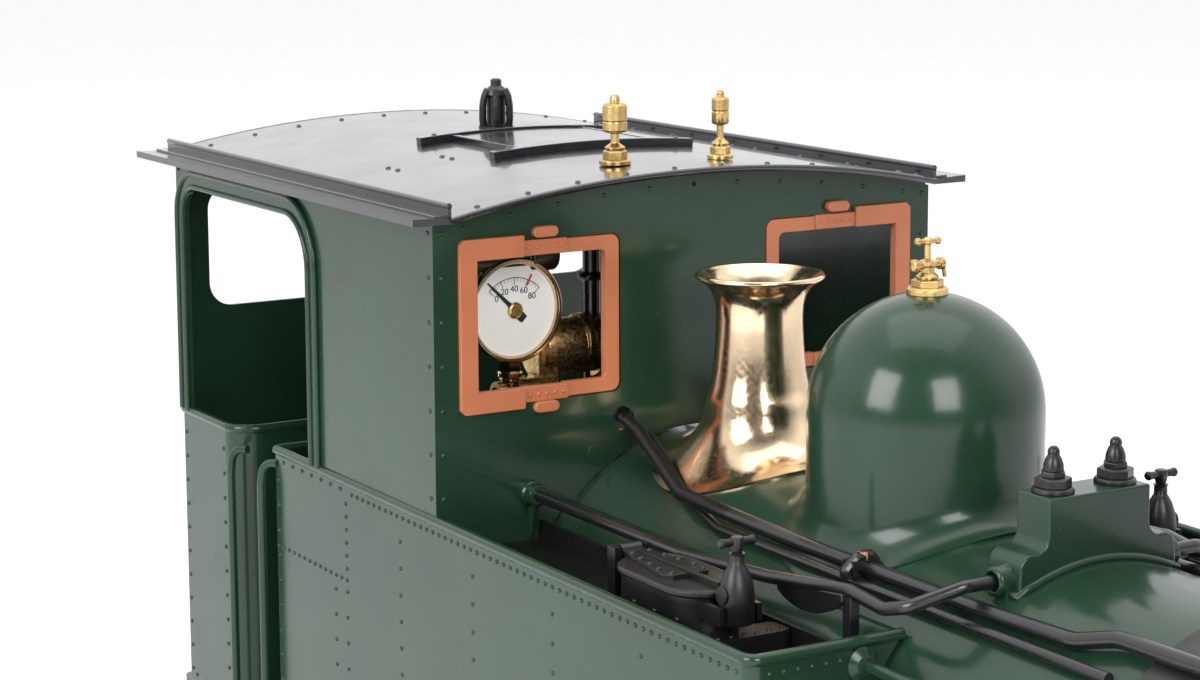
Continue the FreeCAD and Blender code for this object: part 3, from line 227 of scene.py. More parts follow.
def piece(name, shape, material, body=CHASSIS, bevel=0.0, sharp=35.0, replaces=()):
    """Makes the object, in metres, with rounded edges, its finish and the body it rides on."""
    mesh = bpy.data.meshes.new(name)
    mesh.from_pydata([point * MM for point in shape.points], [], shape.faces)
    mesh.validate()
    made = bmesh.new()
    made.from_mesh(mesh)
    bmesh.ops.recalc_face_normals(made, faces=made.faces)
    made.to_mesh(mesh)
    made.free()
    mesh.shade_smooth()
    mesh.set_sharp_from_angle(angle=math.radians(sharp))
    mesh.materials.append(materials[material])
    item = bpy.data.objects.new(name, mesh)
    scene.collection.objects.link(item)
    if bevel:
        edge = item.modifiers.new("rounded_edges", "BEVEL")
        edge.width = bevel * MM
        edge.segments = 2
        edge.limit_method = "ANGLE"
        edge.angle_limit = math.radians(sharp)
        edge.harden_normals = True
    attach(item, body)
    RECORD_SLOT.get(material, material)
    if replaces:
        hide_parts(*replaces)
    return item


def ring_faces(rings, count, closed=False):
    faces = []
    for ring in range(rings if closed else rings - 1):
        here = ring * count
        there = (ring + 1) % rings * count
        for step in range(count):
            after = (step + 1) % count
            faces.append([here + step, here + after, there + after, there + step])
    return faces


def facing(direction):
    """A turn that takes the Z axis to this direction."""
    return Vector((0, 0, 1)).rotation_difference(Vector(direction)).to_matrix().to_4x4()


def lathe(profile, centre=(0, 0, 0), direction=(0, 0, 1), steps=48, turn=0.0):
    """Turned shape from (radius, height) points; a radius of 0 closes an end.  Six steps make a nut."""
    shape = Shape()
    rings = [point for point in profile if point[0] > 1e-6]
    points = []
    for radius, height in rings:
        for step in range(steps):
            angle = 2 * math.pi * step / steps + turn
            points.append((radius * math.cos(angle), radius * math.sin(angle), height))
    faces = ring_faces(len(rings), steps, closed=profile[0][0] > 1e-6 and profile[-1][0] > 1e-6)
    if profile[0][0] < 1e-6:
        faces.append(list(reversed(range(steps))))
    if profile[-1][0] < 1e-6:
        last = (len(rings) - 1) * steps
        faces.append([last + step for step in range(steps)])
    shape.add(points, faces)
    return shape.moved(Matrix.Translation(Vector(centre)) @ facing(direction))


def disc(radius, low, high, centre=(0, 0, 0), direction=(0, 0, 1), steps=48):
    return lathe([(0, low), (radius, low), (radius, high), (0, high)], centre, direction, steps)


def nut(across, low, high, centre=(0, 0, 0), direction=(0, 0, 1), turn=0.0):
    radius = across / math.sqrt(3)
    chamfer = 0.12 * (high - low)
    return lathe([(0, low), (radius, low), (radius, high - chamfer), (radius * 0.88, high), (0, high)],
                 centre, direction, 6, turn)


def arc(centre, radius, start, end, steps):
    """Points of an arc in (radius, height), from one angle to another, in degrees."""
    points = []
    for step in range(steps + 1):
        angle = math.radians(start + (end - start) * step / steps)
        points.append((centre[0] + radius * math.cos(angle), centre[1] + radius * math.sin(angle)))
    return points


def block(low, high):
    x0, y0, z0 = low
    x1, y1, z1 = high
    points = [(x0, y0, z0), (x1, y0, z0), (x1, y1, z0), (x0, y1, z0),
              (x0, y0, z1), (x1, y0, z1), (x1, y1, z1), (x0, y1, z1)]
    faces = [[3, 2, 1, 0], [4, 5, 6, 7], [0, 1, 5, 4], [1, 2, 6, 5], [2, 3, 7, 6], [3, 0, 4, 7]]
    return Shape().add(points, faces)


def eased(points, bend, steps=6):
    """The run of points with each inner corner replaced by a round bend."""
    spots = [Vector(point) for point in points]
    path = [spots[0]]
    for before, corner, after in zip(spots, spots[1:], spots[2:]):
        back = (before - corner).normalized()
        ahead = (after - corner).normalized()
        half = back.angle(ahead) / 2
        if half > math.radians(88):
            path.append(corner)
            continue
        trim = min(bend / math.tan(half), 0.45 * (before - corner).length, 0.45 * (after - corner).length)
        for step in range(steps + 1):
            share = step / steps
            enter = corner + back * trim * (1 - share)
            leave = corner + ahead * trim * share
            path.append(enter.lerp(leave, share))
    path.append(spots[-1])
    return path


def tube(points, radius, bend=3.0, steps=16, closed=False):
    """A round bar along the points.  bend is about the radius of its corners."""
    path = eased(points, bend) if not closed else [Vector(point) for point in points]
    count = len(path)
    side = None
    rings = []
    for index, spot in enumerate(path):
        before = path[index - 1] if closed or index else spot
        after = path[(index + 1) % count] if closed or index < count - 1 else spot
        ahead = (after - before).normalized()
        if side is None:
            helper = Vector((0, 0, 1)) if abs(ahead.z) < 0.9 else Vector((1, 0, 0))
            side = ahead.cross(helper).normalized()
        side = (side - ahead * side.dot(ahead)).normalized()
        lift = ahead.cross(side)
        for step in range(steps):
            angle = 2 * math.pi * step / steps
            rings.append(spot + (side * math.cos(angle) + lift * math.sin(angle)) * radius)
    faces = ring_faces(count, steps, closed)
    if not closed:
        faces.append(list(reversed(range(steps))))
        faces.append([(count - 1) * steps + step for step in range(steps)])
    return Shape().add(rings, faces)


def plate(points, start, end, plane="yz"):
    """A sheet of this outline, from one level to another across its plane."""
    def lift(a, b, level):
        return {"yz": (level, a, b), "xz": (a, level, b), "xy": (a, b, level)}[plane]
    count = len(points)
    both = [lift(a, b, start) for a, b in points] + [lift(a, b, end) for a, b in points]
    faces = [list(range(count)), [count + step for step in reversed(range(count))]]
    for step in range(count):
        after = (step + 1) % count
        faces.append([step, after, count + after, count + step])
    return Shape().add(both, faces)


def round_rectangle(x0, y0, x1, y1, radius, steps=6):
    points = []
    corners = ((x1 - radius, y1 - radius, 0), (x0 + radius, y1 - radius, 90),
               (x0 + radius, y0 + radius, 180), (x1 - radius, y0 + radius, 270))
    for x, y, angle in corners:
        points.extend(arc((x, y), radius, angle, angle + 90, steps))
    return points


def framed(outer, inner, start, end, plane="yz"):
    """A sheet with one opening, between two outlines that have the same number of points."""
    def lift(a, b, level):
        return {"yz": (level, a, b), "xz": (a, level, b), "xy": (a, b, level)}[plane]
    count = len(outer)
    points = [lift(*spot, level) for level, loop in ((start, outer), (end, outer), (end, inner), (start, inner))
              for spot in loop]
    return Shape().add(points, ring_faces(4, count, closed=True))


RIVET_STEPS = 10


def rivet_field(spots, radius=0.5, rise=0.75):
    """Snap heads on the spots, each a (place, way out) pair."""
    shape = Shape()
    for spot, out in spots:
        turn = Matrix.Translation(Vector(spot)) @ facing(Vector(out).normalized())
        points = []
        for angle in (-25, 12, 45, 72):
            around = radius * math.cos(math.radians(max(angle, 0)))
            height = radius * rise * math.sin(math.radians(angle))
            for step in range(RIVET_STEPS):
                way = 2 * math.pi * step / RIVET_STEPS
                points.append(turn @ Vector((around * math.cos(way), around * math.sin(way), height)))
        faces = ring_faces(4, RIVET_STEPS)
        faces.append([3 * RIVET_STEPS + step for step in range(RIVET_STEPS)])
        faces.append(list(reversed(range(RIVET_STEPS))))
        shape.add(points, faces)
    return shape


def row(start, end, pitch, out):
    """Rivet spots from start to end, at about this pitch."""
    start = Vector(start)
    end = Vector(end)
    count = max(1, round((end - start).length / pitch))
    return [(start.lerp(end, step / count), out) for step in range(count + 1)]


def mirrored_spots(spots):
    return spots + [(Vector((p[0], -p[1], p[2])), Vector((o[0], -o[1], o[2])))
                    for p, o in ((Vector(p), Vector(o)) for p, o in spots)]


def saddled(profile, foot_radius, flare, x, host_radius, steps=96):
    """A turned cover whose flared foot follows the top of the boiler's barrel.

    profile is (radius, height) from its open or closed top down to the foot radius.
    """
    def barrel(radius, angle):
        across = radius * math.sin(angle)
        return BOILER_Z + math.sqrt(max(host_radius ** 2 - across ** 2, 0.0))

    rings = []
    for radius, height in profile:
        if radius > 1e-6:
            rings.append([(radius, height)] * steps)
    angles = [2 * math.pi * step / steps for step in range(steps)]
    lip = 0.45
    for turn in range(0, 91, 10):
        swing = math.radians(turn)
        radius = foot_radius + flare * (1 - math.cos(swing))
        rise = flare * (1 - math.sin(swing)) + lip
        rings.append([(radius, barrel(radius, angle) + rise) for angle in angles])
    edge = foot_radius + flare
    rings.append([(edge, barrel(edge, angle) - 0.3) for angle in angles])
    points = [(x + radius * math.cos(angle), radius * math.sin(angle), height)
              for ring in rings for angle, (radius, height) in zip(angles, ring)]
    closed = profile[0][0] > 1e-6
    faces = ring_faces(len(rings), steps, closed=closed)
    if not closed:
        faces.append(list(range(steps)))
        faces.append([(len(rings) - 1) * steps + step for step in reversed(range(steps))])
    return Shape().add(points, faces)


# ---------------------------------------------------------------- boiler mountings

DOME_X = (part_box("dome")[0].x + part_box("dome")[1].x) / 2 / MM
DOME_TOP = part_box("dome")[1].z / MM
DOME_RADIUS = 19.1
BONNET_X = (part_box("safety_valve_bonnet")[0].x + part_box("safety_valve_bonnet")[1].x) / 2 / MM
BONNET_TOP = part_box("safety_valve_bonnet")[1].z / MM
SANDBOX_X = (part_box("sandbox")[0].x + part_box("sandbox")[1].x) / 2 / MM
CHIMNEY_X = (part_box("chimney")[0].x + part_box("chimney")[1].x) / 2 / MM
CHIMNEY_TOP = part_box("chimney")[1].z / MM


def make_dome():
    centre = DOME_TOP - DOME_RADIUS
    crown = [(0.0, DOME_TOP)] + arc((0, centre), DOME_RADIUS, 88, 0, 24)
    crown += [(DOME_RADIUS, centre - 3.0 * step) for step in range(1, 4)]
    shape = saddled(crown, DOME_RADIUS, 4.5, DOME_X, BOILER_RADIUS)
    piece("dome_casing", shape, "green_paint", sharp=50, replaces=("dome",))


def make_bonnet():
    top = BONNET_TOP
    rim = arc((10.9, top - 0.45), 0.5, 150, -20, 6)
    outside = [(11.15, top - 0.9), (10.2, top - 1.5), (9.0, top - 2.5), (8.2, top - 3.8),
               (7.75, top - 5.4), (7.6, top - 7.4), (7.65, top - 9.6), (7.85, top - 13.0),
               (8.2, top - 17.0), (8.7, top - 19.6), (9.2, top - 21.4)]
    inside = [(10.0, top - 0.5), (9.0, top - 1.2), (8.1, top - 2.1), (7.3, top - 3.4),
              (6.85, top - 5.0), (6.7, top - 7.0), (6.9, top - 13.0), (7.4, top - 20.0),
              (8.3, top - 27.0)]
    foot = [(8.6, top - 39.0)]
    profile = list(reversed(foot)) + list(reversed(inside)) + rim + outside
    shape = saddled(profile, 9.4, 9.4, BONNET_X, BOILER_RADIUS)
    piece("trumpet_cover", shape, "polished_brass", sharp=50, replaces=("safety_valve_bonnet",))


def make_dome_valve():
    x = DOME_X
    z = DOME_TOP
    body = lathe([(0, -0.3), (3.4, -0.3), (3.4, 0.5), (3.0, 0.9), (0, 0.9)], (x, 0, z))
    body.join(nut(4.6, 0.9, 2.1, (x, 0, z)))
    body.join(lathe([(0, 2.1), (1.7, 2.1), (1.9, 2.5), (1.5, 2.9), (1.15, 3.2), (1.15, 4.0),
                     (1.5, 4.3), (1.5, 4.9), (0.9, 5.2), (0, 5.2)], (x, 0, z)))
    for side in (-1, 1):
        body.join(lathe([(0, 0.9), (0.7, 0.9), (0.7, 2.1), (1.0, 2.2), (1.0, 3.0), (0.6, 3.2), (0, 3.2)],
                        (x, 0, z + 4.4), (0, side, 0), 20))
    body.join(tube([(x, 3.0, z + 4.4), (x, 3.3, z + 3.2), (x, 3.5, z + 2.2)], 0.35, 0.6, 10))
    piece("dome_valve_body", body, "brass", bevel=0.08, replaces=("dome_valve",))
    handle = lathe([(0, 5.3), (0.55, 5.3), (0.55, 7.6), (0.8, 7.8), (0.8, 8.5), (0.4, 8.8), (0, 8.8)],
                   (x, 0, z), steps=20)
    handle.join(lathe([(0, -2.5), (0.35, -2.5), (0.65, -2.2), (0.65, -1.8), (0.4, -1.5), (0.4, 1.5),
                       (0.65, 1.8), (0.65, 2.2), (0.35, 2.5), (0, 2.5)],
                      (x, 0, z + 8.15), (0, 1, 0), 20))
    piece("dome_valve_tee", handle, "brass", "dome_valve_handle", bevel=0.06,
          replaces=("dome_valve_handle",))


SANDBOX_HALF = 3.8
SANDBOX_TOP = TANK_TOP + 20.9
SANDBOX_FOOT = 14.9
SANDING_Z = TANK_TOP + 8.9


def sandbox_section():
    """Half the casting's front outline, from the foot up, as (across, height)."""
    neck = 9.7
    shoulder = SANDBOX_TOP - 5.8
    foot_z = BOILER_Z + math.sqrt(BOILER_RADIUS ** 2 - SANDBOX_FOOT ** 2)
    convex = arc((SANDBOX_FOOT - 2.4, shoulder - 4.4), 2.4, 0, 80, 6)
    concave = arc((neck + 2.4, shoulder + 0.2), 2.4, 262, 182, 6)
    return [(SANDBOX_FOOT + 0.3, foot_z - 0.6)] + convex + concave + [(neck, SANDBOX_TOP)]


def barrel_line(radius, reach, steps=20):
    """Points across the boiler's top at this distance from its axis."""
    spots = [reach * (2 * step / steps - 1) for step in range(steps + 1)]
    return [(y, BOILER_Z + math.sqrt(radius ** 2 - y ** 2)) for y in spots]


def make_sandbox():
    x = SANDBOX_X
    side = sandbox_section()
    outline = side + [(-y, z) for y, z in reversed(side)]
    outline += barrel_line(BOILER_RADIUS - 0.2, SANDBOX_FOOT - 0.4)
    casting = plate(outline, x - SANDBOX_HALF, x + SANDBOX_HALF)
    piece("sandbox_casting", casting, "green_paint", bevel=1.0, sharp=40, replaces=("sandbox",))

    reach = SANDBOX_FOOT + 0.3
    edge = barrel_line(BOILER_RADIUS + 0.35, reach)
    front_x = x + SANDBOX_HALF + 0.1
    back_x = x - SANDBOX_HALF - 0.1
    loop = [(front_x, y, z) for y, z in edge] + [(back_x, y, z) for y, z in reversed(edge)]
    flange = tube(loop, 0.75, closed=True, steps=12)
    piece("sandbox_flange", flange, "green_paint", sharp=60)

    lugs = Shape()
    for hand in (-1, 1):
        lugs.join(lathe([(0, 12.0), (2.7, 12.0), (2.5, 15.6), (2.3, 17.1), (1.9, 17.5), (1.45, 17.5), (1.4, 16.0),
                         (0, 16.0)], (x + 0.3, 0, SANDING_Z), (0, hand, 0), 32))
        lugs.join(block((x - 1.9, min(hand * 12.0, hand * 16.4), SANDING_Z - 3.0),
                        (x + 2.5, max(hand * 12.0, hand * 16.4), SANDING_Z + 1.0)))
    piece("sandbox_lugs", lugs, "green_paint", bevel=0.4)

    caps = Shape()
    for y in (-6.0, 6.0):
        base = (x, y, SANDBOX_TOP)
        caps.join(lathe([(0, 0), (3.2, 0), (3.2, 0.5), (2.9, 0.8), (0, 0.8)], base, steps=40))
        caps.join(nut(4.9, 0.8, 2.3, base))
        caps.join(nut(3.4, 2.3, 3.2, base, turn=0.4))
        caps.join(lathe([(0, 3.2), (1.55, 3.2), (1.5, 4.2), (1.15, 5.2), (0.85, 5.6), (0.95, 6.0), (0.8, 6.5),
                         (0.4, 6.9), (0, 6.9)], base, steps=28))
    piece("sandbox_caps", caps, "cast_black", bevel=0.12)


def make_whistles():
    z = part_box("whistles")[0].z / MM
    large = cab(-10.1, -10.5, z - TANK_TOP)
    small = cab(-7.4, 10.5, z - TANK_TOP)
    shape = lathe([(0, 0), (2.9, 0), (2.9, 0.7), (2.6, 0.9), (0, 0.9)], large)
    shape.join(nut(3.9, 0.9, 2.6, large))
    shape.join(lathe([(0, 2.6), (1.7, 2.6), (1.9, 3.1), (1.2, 3.6), (0.8, 3.9), (0.8, 5.6), (2.0, 5.9),
                      (2.25, 6.2), (2.25, 7.6), (2.1, 7.8), (2.25, 8.0), (2.25, 10.6), (1.9, 11.0),
                      (0.9, 11.2), (0.9, 12.0), (0.6, 12.6), (0, 12.6)], large, steps=40))
    shape.join(lathe([(0, 0), (2.4, 0), (2.4, 0.7), (2.1, 0.9), (0, 0.9)], small))
    shape.join(nut(3.3, 0.9, 2.4, small))
    shape.join(lathe([(0, 2.4), (1.5, 2.4), (1.6, 2.9), (1.0, 3.4), (0.65, 3.8), (0.65, 6.2), (1.4, 6.4),
                      (1.6, 6.7), (1.6, 8.6), (1.4, 8.8), (1.6, 9.0), (1.6, 11.0), (1.2, 11.3),
                      (0.7, 11.5), (0.7, 12.2), (0.4, 12.6), (0, 12.6)], small, steps=36))
    piece("twin_whistles", shape, "brass", bevel=0.1, replaces=("whistles",))


def make_vent():
    spot = Vector((-119.5, 0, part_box("roof_vent")[0].z / MM))
    core = lathe([(0, 0), (3.6, 0), (3.6, 0.9), (2.9, 1.2), (1.9, 1.3), (1.9, 6.8), (2.4, 7.2), (2.2, 8.2),
                  (1.4, 8.9), (1.1, 9.1), (1.1, 10.2), (0.7, 10.5), (0, 10.5)], spot, steps=40)
    for index in range(6):
        turn = Matrix.Rotation(2 * math.pi * (index + 0.5) / 6, 3, "Z")
        bend = [(3.0, 0, 0.8), (3.15, 0, 2.5), (3.1, 0, 5.0), (2.75, 0, 6.9), (2.0, 0, 8.2)]
        core.join(tube([spot + turn @ Vector(point) for point in bend], 0.72, 2.0, 10))
    piece("ventilator", core, "cast_black", bevel=0.08, replaces=("roof_vent",))


def make_chimney():
    top = CHIMNEY_TOP
    outer = [(7.0, top - 0.3), (7.3, top), (11.4, top), (12.2, top - 0.7), (12.9, top - 1.9), (13.0, top - 3.2),
             (12.6, top - 4.6), (11.6, top - 6.0), (10.6, top - 6.8), (10.4, top - 7.4), (9.9, top - 8.2),
             (9.6, top - 14.0), (9.3, top - 22.0), (9.15, top - 30.0)]
    inner = [(7.0, top - 46.0)]
    shape = saddled(inner + outer, 9.2, 5.4, CHIMNEY_X, SMOKEBOX_RADIUS)
    piece("chimney_casting", shape, "smokebox_black", sharp=50, replaces=("chimney",))


# ---------------------------------------------------------------- pipes and rods

def make_pipes():
    """A thick and a thin pipe along each side of the boiler, held by a clip with a screw."""
    thick = [cab(0.2, -14.9, 13.8), cab(8, -16.5, 12.6), cab(30, -21.9, 6.9), cab(46, -22.2, 6.6),
             cab(64, -20.7, 5.5), cab(112, -20.4, 5.45), cab(129, -20.3, 5.9), cab(135.5, -18.1, 7.5),
             cab(160, -17.8, 7.7)]
    steam = tube(thick, 1.25, 7.0, 20)
    piece("steam_pipes", steam.both(), "black_paint", sharp=60, replaces=("boiler_pipes",))
    thin = [cab(0.3, -13.8, 12.4), cab(8, -14.4, 11.6), cab(30, -20.0, 5.3), cab(42, -22.6, 3.7),
            cab(90, -22.8, 3.5), cab(139, -22.8, 3.5)]
    piece("drain_pipes", tube(thin, 0.9, 7.0, 16).both(), "black_paint", sharp=60)
    clip = tube([cab(80.8, -24.2, 4.4), cab(80.8, -24.4, 5.4), cab(80.8, -22.4, 7.1), cab(80.8, -20.0, 7.4),
                 cab(80.8, -18.9, 6.2)], 1.0, 1.0, 10)
    clip.join(block(cab(79.4, -23.9, 5.6), cab(82.2, -19.8, 7.0)))
    piece("pipe_clips", clip.both(), "black_paint", bevel=0.3)
    screw = nut(1.9, 7.0, 8.2, cab(80.8, -21.0, 0), (0, 0, 1))
    piece("clip_screws", screw.both(), "copper", bevel=0.1)


def make_sanding_gear():
    """On each side the cranked rod to the sand box, its blade, and its socket and post."""
    x = SANDBOX_X - CAB_X + 0.3
    rise = SANDING_Z - TANK_TOP
    run = [cab(-4, -34.4, 2.6), cab(50, -34.4, 2.6), cab(72, -32.9, 3.8), cab(91, -31.2, 5.8),
           cab(99, -30.8, 4.8), cab(103.5, -29.6, 6.0), cab(x, -22.5, rise), cab(x, -15.6, rise)]
    rod = tube(run, 1.05, 3.0, 18)
    piece("sanding_rods", rod.both(), "black_paint", sharp=60, replaces=("sanding_pipes",))
    belly = [(74.0, 3.6)]
    for step in range(11):
        share = step / 10
        belly.append((74.0 + 17.0 * share, 2.2 + 1.8 * share - 2.6 * math.sin(math.pi * share) ** 0.8))
    belly.append((91.0, 5.4))
    outline = [(CAB_X + a, TANK_TOP + b) for a, b in belly]
    piece("sanding_blades", plate(outline, -32.6, -31.2, "xz").both(), "black_paint", bevel=0.3)
    boss = lathe([(0, -0.2), (2.3, -0.2), (2.3, 1.0), (1.9, 1.5), (1.9, 3.2), (1.6, 3.5), (0, 3.5)],
                 cab(0, -34.4, 2.6), (1, 0, 0), 36)
    gusset = [(0.0, 1.6), (2.8, 1.2), (0.6, -5.6), (0.0, -5.6)]
    boss.join(plate([(CAB_X + a, TANK_TOP + b) for a, b in gusset], -34.9, -33.9, "xz"))
    piece("rod_sockets", boss.both(), "green_paint", bevel=0.25)
    post = block(cab(90.4, -32.0, -6.0), cab(92.4, -30.2, 5.2))
    piece("rod_posts", post.both(), "black_paint", bevel=0.2)


def make_handrails():
    """Grab rails on the tank's rear and the bunker's front, and the long green boiler rail."""
    y = -HALF_CAB - 1.9
    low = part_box("footplate_and_steps")[1].z / MM
    rails = Shape()
    for x in (-70.7, -85.5):
        rails.join(tube([cab(x, y, low - TANK_TOP + 1.0), cab(x, y, -8.0), cab(x, y + 0.4, -4.6),
                         cab(x + 1.2, y + 1.2, -3.2), cab(x + 3.4, y + 2.2, -3.0)], 0.85, 2.4, 14))
        rails.join(lathe([(0, 0), (1.5, 0), (1.5, 1.1), (1.0, 1.4), (0, 1.4)],
                         cab(x, y, low - TANK_TOP - 0.1), (0, 0, 1), 24))
    rails = rails.both()
    piece("grab_rails", rails, "green_paint", sharp=60, replaces=("handrails",))
    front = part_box("side_tanks")[1].x / MM
    rail_z = 100.0
    rail = tube([(front - 0.2, -33.4, rail_z), (front + 76.0, -33.4, rail_z)], 1.0, 1.0, 14)
    rail.join(lathe([(0, 0), (2.7, 0), (2.7, 0.8), (2.2, 1.2), (1.6, 1.6), (1.6, 2.6), (0, 2.6)],
                    (front - 0.1, -33.4, rail_z), (1, 0, 0), 28))
    for reach in (40.0, 68.0):
        rail.join(lathe([(0, -1.5), (0.9, -1.5), (1.5, -0.9), (1.6, 0), (1.5, 0.9), (0.9, 1.5), (0, 1.5)],
                        (front + reach, -33.4, rail_z), (1, 0, 0), 20))
        inner = Vector((front + reach, -27.6, rail_z))
        rail.join(tube([inner, (front + reach, -33.4, rail_z)], 0.7, 1.0, 10))
    piece("boiler_rails", rail.both(), "green_paint", sharp=50)


# ---------------------------------------------------------------- tanks

def tank_plan(inset, steps=6):
    """The tank's outer edge seen from above, from its rear along the side to the inner front."""
    low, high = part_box("side_tanks")
    rear = low.x / MM
    front = high.x / MM - inset
    outer = -HALF_CAB + inset
    corner = 2.2 - inset
    bend = arc((front - corner, outer + corner), corner, -90, 0, steps)
    return [(rear, outer)] + bend + [(front, -25.6)]


SEAM_PITCH = 2.3       # rivets along a seam of the tank
STAY_PITCH = 5.0       # rivets that hold the stays inside
EDGE_PITCH = 4.0
PANEL_X = -36.5        # upright seam of the tank's rear panel


def make_tank_trim():
    """The half-round bead along the top edge of each tank, and the tank's rows of rivets."""
    path = [Vector((x, y, TANK_TOP - 0.25)) for x, y in tank_plan(0.25)]
    bead = tube(path, 0.95, 0.5, 14)
    bead.join(tube([(path[0].x, -HALF_CAB + 0.3, TANK_TOP - 0.25), (path[0].x, -36.0, TANK_TOP - 0.25)],
                   0.95, 1.0, 14))
    piece("tank_beads", bead.both(), "green_paint", sharp=60)
    side = -HALF_CAB
    out = (0, -1, 0)
    front_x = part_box("side_tanks")[1].x / MM - CAB_X
    floor_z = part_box("side_tanks")[0].z / MM - TANK_TOP
    spots = row(cab(-34, side, -2.5), cab(front_x - 3.5, side, -2.5), SEAM_PITCH, out)
    spots += row(cab(-64, side, -2.2), cab(-38.8, side, -2.2), EDGE_PITCH, out)
    spots += row(cab(PANEL_X, side, -4.6), cab(PANEL_X, side, -17.0), SEAM_PITCH, out)
    spots += row(cab(-67.0, side, -19.2), cab(PANEL_X, side, -19.2), SEAM_PITCH, out)
    spots += row(cab(PANEL_X, side, -21.4), cab(PANEL_X, side, floor_z + 3), STAY_PITCH, out)
    for x in (-41.5, -14.3, 12.9, 40.1, 67.3, 92.4):
        high = -22.0 if x < PANEL_X else -7.0
        spots += row(cab(x, side, high), cab(x, side, floor_z + 3), STAY_PITCH, out)
    spots += row(cab(-66.4, side, -6.0), cab(-66.4, side, floor_z + 3), STAY_PITCH, out)
    spots += row(cab(-66.4, side, floor_z + 2), cab(front_x - 3.5, side, floor_z + 2), EDGE_PITCH, out)
    ahead = (1, 0, 0)
    spots += row(cab(front_x, side + 3.5, -2.5), cab(front_x, -37.0, -2.5), SEAM_PITCH, ahead)
    spots += row(cab(front_x, side + 3.0, -5.0), cab(front_x, side + 3.0, floor_z + 3), STAY_PITCH, ahead)
    piece("tank_rivets", rivet_field(mirrored_spots(spots), 0.42, 0.8), "green_paint", sharp=80)


FILLER_X = 16.1
FILLER_Y = 42.3
FILLER_HALF = 6.2      # half the straight between the filler's round ends
LID_RADIUS = 6.6
CLAMP_X = FILLER_X + 16.0


def oval(radius, half=FILLER_HALF, steps=14):
    """An outline of two half rounds joined by straights, round the filler's middle."""
    points = arc((FILLER_X + half, -FILLER_Y), radius, -90, 90, steps)
    return points + arc((FILLER_X - half, -FILLER_Y), radius, 90, 270, steps)


def stack(loops):
    """A closed shape from outlines with equal numbers of points, at their heights."""
    count = len(loops[0][0])
    last = (len(loops) - 1) * count
    points = [(x, y, height) for loop, height in loops for x, y in loop]
    faces = ring_faces(len(loops), count)
    faces.append(list(reversed(range(count))))
    faces.append([last + step for step in range(count)])
    return Shape().add(points, faces)


def make_filler(side, mirror):
    """The strapped lid with its hinge, and the bullet-shaped swing nut that holds it."""
    lid_body = f"filler_lid_{side}"
    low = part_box(lid_body)[0].z / MM
    lid = stack([(oval(LID_RADIUS - 0.3), low), (oval(LID_RADIUS), low + 0.3),
                 (oval(LID_RADIUS), low + 0.9),
                 (oval(LID_RADIUS - 0.3), low + 1.2), (oval(LID_RADIUS - 0.9), low + 1.25),
                 (oval(LID_RADIUS - 1.1), low + 1.05)])
    strap = [(FILLER_X - 15.0, -1.7), (FILLER_X - 11.0, -2.4),
             (FILLER_X + 1.6, -4.4), (FILLER_X + 3.2, -3.2),
             (FILLER_X + 3.2, 3.2), (FILLER_X + 1.6, 4.4),
             (FILLER_X - 11.0, 2.4), (FILLER_X - 15.0, 1.7)]
    lid.join(plate([(x, y - FILLER_Y) for x, y in strap], low + 0.9, low + 1.8, "xy"))
    rib = [(FILLER_X - 12.0, -0.5), (FILLER_X + 11.6, -0.5), (FILLER_X + 11.6, 0.5), (FILLER_X - 12.0, 0.5)]
    lid.join(plate([(x, y - FILLER_Y) for x, y in rib], low + 0.9, low + 2.2, "xy"))
    lid.join(lathe([(0.55, -1.9), (1.3, -1.9), (1.3, 1.9), (0.55, 1.9)],
                   (FILLER_X - 15.0, -FILLER_Y, low + 1.3), (0, 1, 0), 24))
    spots = []
    for x, across in ((-11.5, 1.6), (-8.0, 2.2), (-4.5, 2.7), (-1.0, 3.3), (2.2, 2.9)):
        for hand in (-1, 1):
            spots.append(((FILLER_X + x, -FILLER_Y + hand * across, low + 1.8), (0, 0, 1)))
    for x in (5.4, 8.4):
        spots.append(((FILLER_X + x, -FILLER_Y + 1.9, low + 1.15), (0, 0, 1)))
    lid.join(rivet_field(spots, 0.5))
    shape = lid if not mirror else lid.mirrored()
    piece(f"strapped_lid_{side}", shape, "cast_black", lid_body, bevel=0.1, replaces=(lid_body,))

    clamp_body = f"filler_clamp_{side}"
    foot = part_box(clamp_body)[0].z / MM
    centre = (CLAMP_X, -FILLER_Y, foot)
    bullet = [(0, 0), (2.5, 0), (2.75, 0.4), (2.75, 4.4), (2.5, 6.2), (1.95, 7.9), (1.3, 9.0),
              (1.15, 9.2), (1.1, 10.6), (1.35, 10.9), (0, 11.0)]
    clamp = lathe(bullet, centre, steps=40)
    clamp.join(disc(1.45, 2.4, 2.95, (CLAMP_X, -FILLER_Y, foot + 4.6), (0, -1, 0), 24))
    knob = [(0, 10.9), (0.8, 10.9), (1.0, 11.6), (1.15, 12.6), (0.95, 13.4), (0, 13.6)]
    clamp.join(lathe(knob, centre, steps=24))
    tee = [(0, -3.3), (0.5, -3.3), (0.8, -2.9), (0.65, -2.2), (0.55, 0), (0.65, 2.2), (0.8, 2.9),
           (0.5, 3.3), (0, 3.3)]
    clamp.join(lathe(tee, (CLAMP_X, -FILLER_Y, foot + 12.6), (0, 1, 0), 20))
    shape = clamp if not mirror else clamp.mirrored()
    piece(f"swing_clamp_{side}", shape, "cast_black", clamp_body, bevel=0.12, replaces=(clamp_body,))


